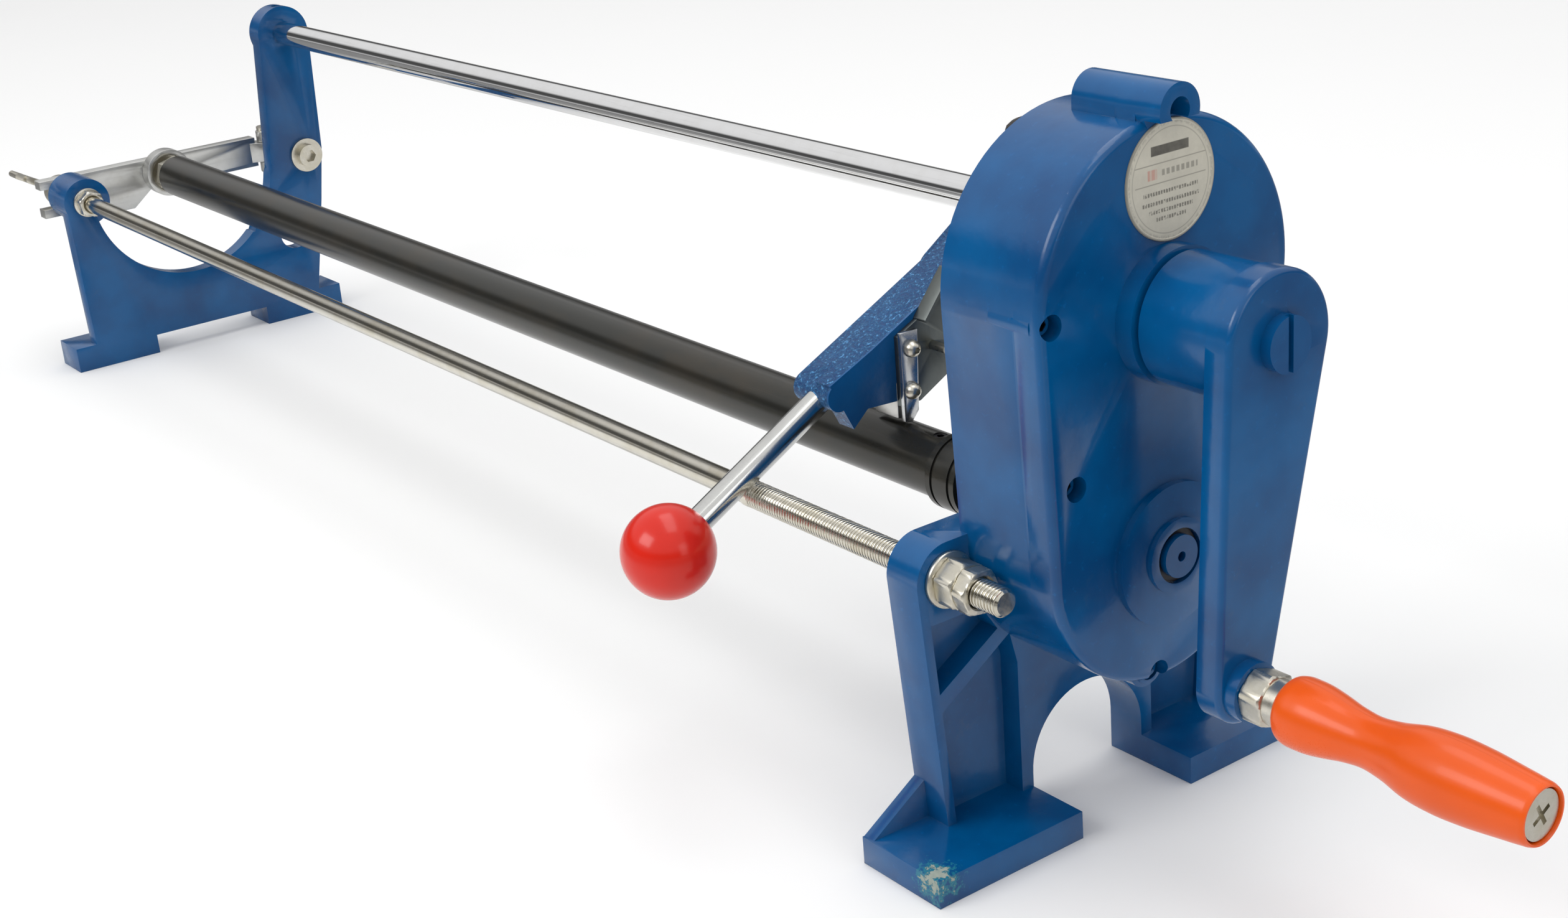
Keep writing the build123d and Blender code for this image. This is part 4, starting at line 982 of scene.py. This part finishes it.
class CUTTER_OT_handle(Maker, Operator):
    """Orange grip with a recess for its end screw, and the handle's nut"""
    bl_idname, bl_label = "cutter.handle", "Handle"
    # part of the length from the nut, and part of the greatest radius there
    shape = (
        (0.0, 0.76), (0.012, 0.86), (0.035, 0.925), (0.075, 0.940), (0.12, 0.925), (0.18, 0.855),
        (0.27, 0.725), (0.345, 0.675), (0.43, 0.75), (0.54, 0.94), (0.635, 1.0), (0.76, 0.975),
        (0.885, 0.885), (0.97, 0.815), (0.988, 0.795), (1.0, 0.755),
    )
    bore, recess, recess_deep = 5.1 * MM, 9.7 * MM, 3.9 * MM
    nut_flats, nut_bore, nut_turn = 19 * MM, 6 * MM, radians(12)

    def execute(self, context):
        low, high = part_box("handle_grip")
        thick, span = girth("handle_grip"), high.x - low.x
        ends = np.linspace(0, 0.06, 10), np.linspace(0.965, 1, 8)
        steps = np.concatenate((ends[0], np.linspace(0.07, 0.96, 70), ends[1]))
        rows = [(0, self.bore)] + [(t * span, thick * float(self.radius_at(t))) for t in steps]
        rows += [(span, self.recess + 0.2 * MM), (span - 0.4 * MM, self.recess)]
        floor = span - self.recess_deep
        rows += [(floor, self.recess - 0.1 * MM), (floor, self.bore)]
        grip = turned_mesh("grip", rows, back_middle(low, high), sides=72, ring=True)
        add_piece("orange_grip", grip, "grip", "orange_plastic", "orange_plastic", "handle_grip")
        nut = nut_mesh("handle_nut", *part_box("handle_nut"), self.nut_flats, self.nut_bore, self.nut_turn)
        add_piece("handle_lock_nut", nut, "crank", "zinc", "zinc", "handle_nut")
        return {"FINISHED"}

    def radius_at(self, t):
        """Smooth radius of the grip, as a part of its greatest."""
        spots, radii = zip(*self.shape)
        slope = np.gradient(radii, spots)
        index = min(max(np.searchsorted(spots, t) - 1, 0), len(spots) - 2)
        wide = spots[index + 1] - spots[index]
        u = (t - spots[index]) / wide
        start, end = radii[index], radii[index + 1]
        ease = u * u * (3 - 2 * u)
        lead = (u ** 3 - 2 * u * u + u) * wide * slope[index] + (u ** 3 - u * u) * wide * slope[index + 1]
        return start + (end - start) * ease + lead


class CUTTER_OT_lever(Maker, Operator):
    """Lever rod, red ball and knife"""
    bl_idname, bl_label = "cutter.lever", "Lever"
    ball_flat = 8.2 * MM
    button_tall, button_shank, button_flats = 4 * MM, 2.4 * MM, 2.6 * MM

    def execute(self, context):
        ball = middle("lever_ball")
        start, end, radius = run_of("lever_rod")
        if (start - ball).length > (end - ball).length:
            start, end = end, start
        along = (end - start).normalized()
        side = along.cross(X_AXIS).normalized()
        mesh = turned_mesh("ball", self.ball_rows(girth("lever_ball"), radius), ball, along, 72, side)
        add_piece("red_ball", mesh, "lever", "red_plastic", "red_plastic", "lever_ball")
        span = (end - start).length
        rows = [(0, radius - 0.6 * MM), (0.6 * MM, radius)]
        rows += [(span - 0.2 * MM, radius), (span, radius - 0.2 * MM)]
        rod = turned_mesh("lever_bar", rows, start, along, 56, side)
        add_piece("lever_bar", rod, "lever", "bare_steel", "lever_steel", "lever_rod")
        self.knife(self.sizes.small_round)
        self.screws()
        return {"FINISHED"}

    def ball_rows(self, thick, rod):
        """A ball from its far pole to the flat with the rod's hole."""
        flat_angle = asin(self.ball_flat / thick)
        rise = thick * cos(flat_angle)
        turn = [pi - (pi - flat_angle) * i / 40 for i in range(41)]
        rows = [(thick * cos(a), max(thick * sin(a), 0.05 * MM)) for a in turn]
        rows += [(rise + 0.3 * MM, self.ball_flat - 0.8 * MM), (rise + 0.1 * MM, rod + 0.15 * MM)]
        return rows + [(rise - 2 * MM, rod + 0.1 * MM)]

    def knife(self, small):
        """The knife's plate, blade and seat."""
        add_eased((
            # the plate's steel is darkened as painted shade
            ("knife_bracket", "knife_plate", "lever", small * 0.6, "zinc", "plate_steel"),
            ("knife_blade", "knife_edge", "lever", small * 0.3, "tool_steel", "tool_steel"),
            ("knife_seat", "knife_block", "lever", small, "bare_steel", "bare_steel"),
        ))

    def screws(self):
        """Button-head screws of the knife."""
        boxes = solid_boxes("knife_screws")
        head, tall, shank = girth_of(boxes[0]), self.button_tall, self.button_shank
        rows = [(-2 * MM, shank), (0, shank), (0, head)]
        rows += [(tall * sin(a), head * cos(a)) for a in (0.25, 0.5, 0.8, 1.05)]
        socket = hexagon(self.button_flats)
        rows += [(tall * 0.93, socket), (tall * 0.35, socket)]
        button = turned_mesh("button", rows, Vector(), sides=36)
        mesh = scattered("knife_button_screws", button, head_seats(boxes, tall), "zinc")
        add_piece("knife_button_screws", mesh, "lever", "zinc", "zinc", "knife_screws")


class CUTTER_OT_carriage_knob(Maker, Operator):
    """Fluted lock knob on the carriage"""
    bl_idname, bl_label = "cutter.lock_knob", "Lock knob"
    stem, stem_run, neck, head_tall = 3.9 * MM, 14 * MM, 8.9 * MM, 13 * MM

    def execute(self, context):
        low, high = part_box("lock_knob")
        wide, tall = (high.x - low.x) / 2, high.z - low.z
        at = middle("lock_knob")
        at.z = low.z
        flutes = self.sizes.knob_flutes
        mesh = turned_mesh("knob", self.rows(wide, tall, flutes), at, Z_AXIS, flutes * 6, X_AXIS)
        add_piece("lock_knob_head", mesh, "lock_knob", "black_plastic", "black_plastic", "lock_knob")
        return {"FINISHED"}

    def rows(self, wide, tall, flutes):
        """The knob from the foot of its screw to the dished top of its fluted head."""
        def fluted(radius, deep):
            return lambda angle: radius - deep * (0.5 + 0.5 * cos(flutes * angle)) ** 2

        under = tall - self.head_tall
        stem, neck = self.stem, self.neck
        rows = [(0, stem - 0.5 * MM), (0.5 * MM, stem), (self.stem_run, stem)]
        rows += [(self.stem_run + 1.4 * MM, neck - 0.3 * MM), (under, neck)]
        rows += [(under, wide - 3 * MM), (under + 0.8 * MM, fluted(wide - 1 * MM, 0.6 * MM))]
        rows += [(under + 2.2 * MM, fluted(wide, 0.9 * MM)), (tall - 4.2 * MM, fluted(wide, 0.9 * MM))]
        rows += [(tall - 2.4 * MM, fluted(wide - 0.7 * MM, 0.7 * MM)), (tall - 0.9 * MM, wide - 2.4 * MM)]
        rows += [(tall - 0.1 * MM, wide - 5 * MM), (tall, wide - 8 * MM), (tall - 0.6 * MM, wide - 10 * MM)]
        return rows + [(tall - 0.9 * MM, 4 * MM)]


class CUTTER_OT_data_plate(Maker, Operator):
    """Data plate with a pressed rim"""
    bl_idname, bl_label = "cutter.data_plate", "Data plate"

    def execute(self, context):
        low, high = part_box("data_plate")
        wide, tall, rim = girth("data_plate"), high.x - low.x, self.sizes.plate_rim
        face = tall - 0.2 * MM
        rows = [(0, wide), (tall * 0.6, wide), (tall, wide - 0.25 * MM), (tall, wide - rim)]
        rows += [(face, wide - rim - 0.3 * MM), (face, wide * 0.5), (face, 0.2 * MM)]
        mesh = turned_mesh("plate", rows, back_middle(low, high), sides=120)
        add_piece("head_data_plate", mesh, "frame", "label", "data_plate_print", "data_plate")
        return {"FINISHED"}


class CUTTER_OT_finishes(Maker, Operator):
    """Finishes of the CAD pieces that stay as they are"""
    bl_idname, bl_label = "cutter.finishes", "Finishes"
    looks = {
        "blue_enamel": ("casing_gasket", "output_seal", "crank_shaft", "crank_keys", "output_spindle"),
        "black_bar": ("mandrel", "mandrel_collar"),
        "black_screw": (
            "guide_rod_set_screws", "mandrel_set_screws", "crank_circlip", "spindle_circlip",
            "sleeve_circlips",
        ),
        "chrome": ("rear_guide_rod",),
        "zinc": (
            "hinge_pin", "hinge_bolt", "hinge_bolt_washer", "handle_spindle", "handle_end_screw",
            "tail_nut", "tail_centre", "tail_centre_nut", "knife_pin",
        ),
        "bearing_steel": (
            "output_bearing_outer_races", "output_bearing_inner_races", "output_bearing_balls",
            "carriage_sleeve",
        ),
        "bronze": ("crank_bushes",),
        "cast_iron": ("drive_gear", "drive_pinion"),
        "tool_steel": ("pinion_key",),
    }

    def execute(self, context):
        for look, nodes in self.looks.items():
            for node in nodes:
                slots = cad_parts[node].material_slots
                if not slots:
                    raise RuntimeError(f"{node} has no material slot")
                for slot in slots:
                    slot.material = finish(look)
        return {"FINISHED"}


class CUTTER_PT_panel(Panel):
    """Lists the makers in the sidebar"""
    bl_idname, bl_label = "CUTTER_PT_panel", "Bench cutter"
    bl_space_type, bl_region_type, bl_category = "VIEW_3D", "UI", "Bench cutter"

    def draw(self, context):
        for maker in OPERATORS:
            self.layout.operator(maker.bl_idname)
        for group in GROUPS:
            holder = getattr(context.scene, group)
            for key in holder.bl_rna.properties.keys():
                if key not in {"rna_type", "name"}:
                    self.layout.prop(holder, key)


GROUPS = {"cutter_sizes": CutterSizes, "cutter_colours": CutterColours, "cutter_stage": CutterStage}
OPERATORS = (
    CUTTER_OT_castings, CUTTER_OT_gate, CUTTER_OT_cover_screws, CUTTER_OT_tie_rod, CUTTER_OT_handle,
    CUTTER_OT_lever, CUTTER_OT_carriage_knob, CUTTER_OT_data_plate, CUTTER_OT_finishes, CUTTER_OT_stage,
)


def register():
    for made in (*GROUPS.values(), *OPERATORS, CUTTER_PT_panel):
        bpy.utils.register_class(made)
    for name, group in GROUPS.items():
        setattr(bpy.types.Scene, name, PointerProperty(type=group))


def unregister():
    for name in GROUPS:
        delattr(bpy.types.Scene, name)
    for made in reversed((*GROUPS.values(), *OPERATORS, CUTTER_PT_panel)):
        bpy.utils.unregister_class(made)


def main():
    """Makes every piece in order."""
    register()
    for maker in OPERATORS:
        group, name = maker.bl_idname.split(".")
        getattr(getattr(bpy.ops, group), name)()


if __name__ == "__main__":
    main()
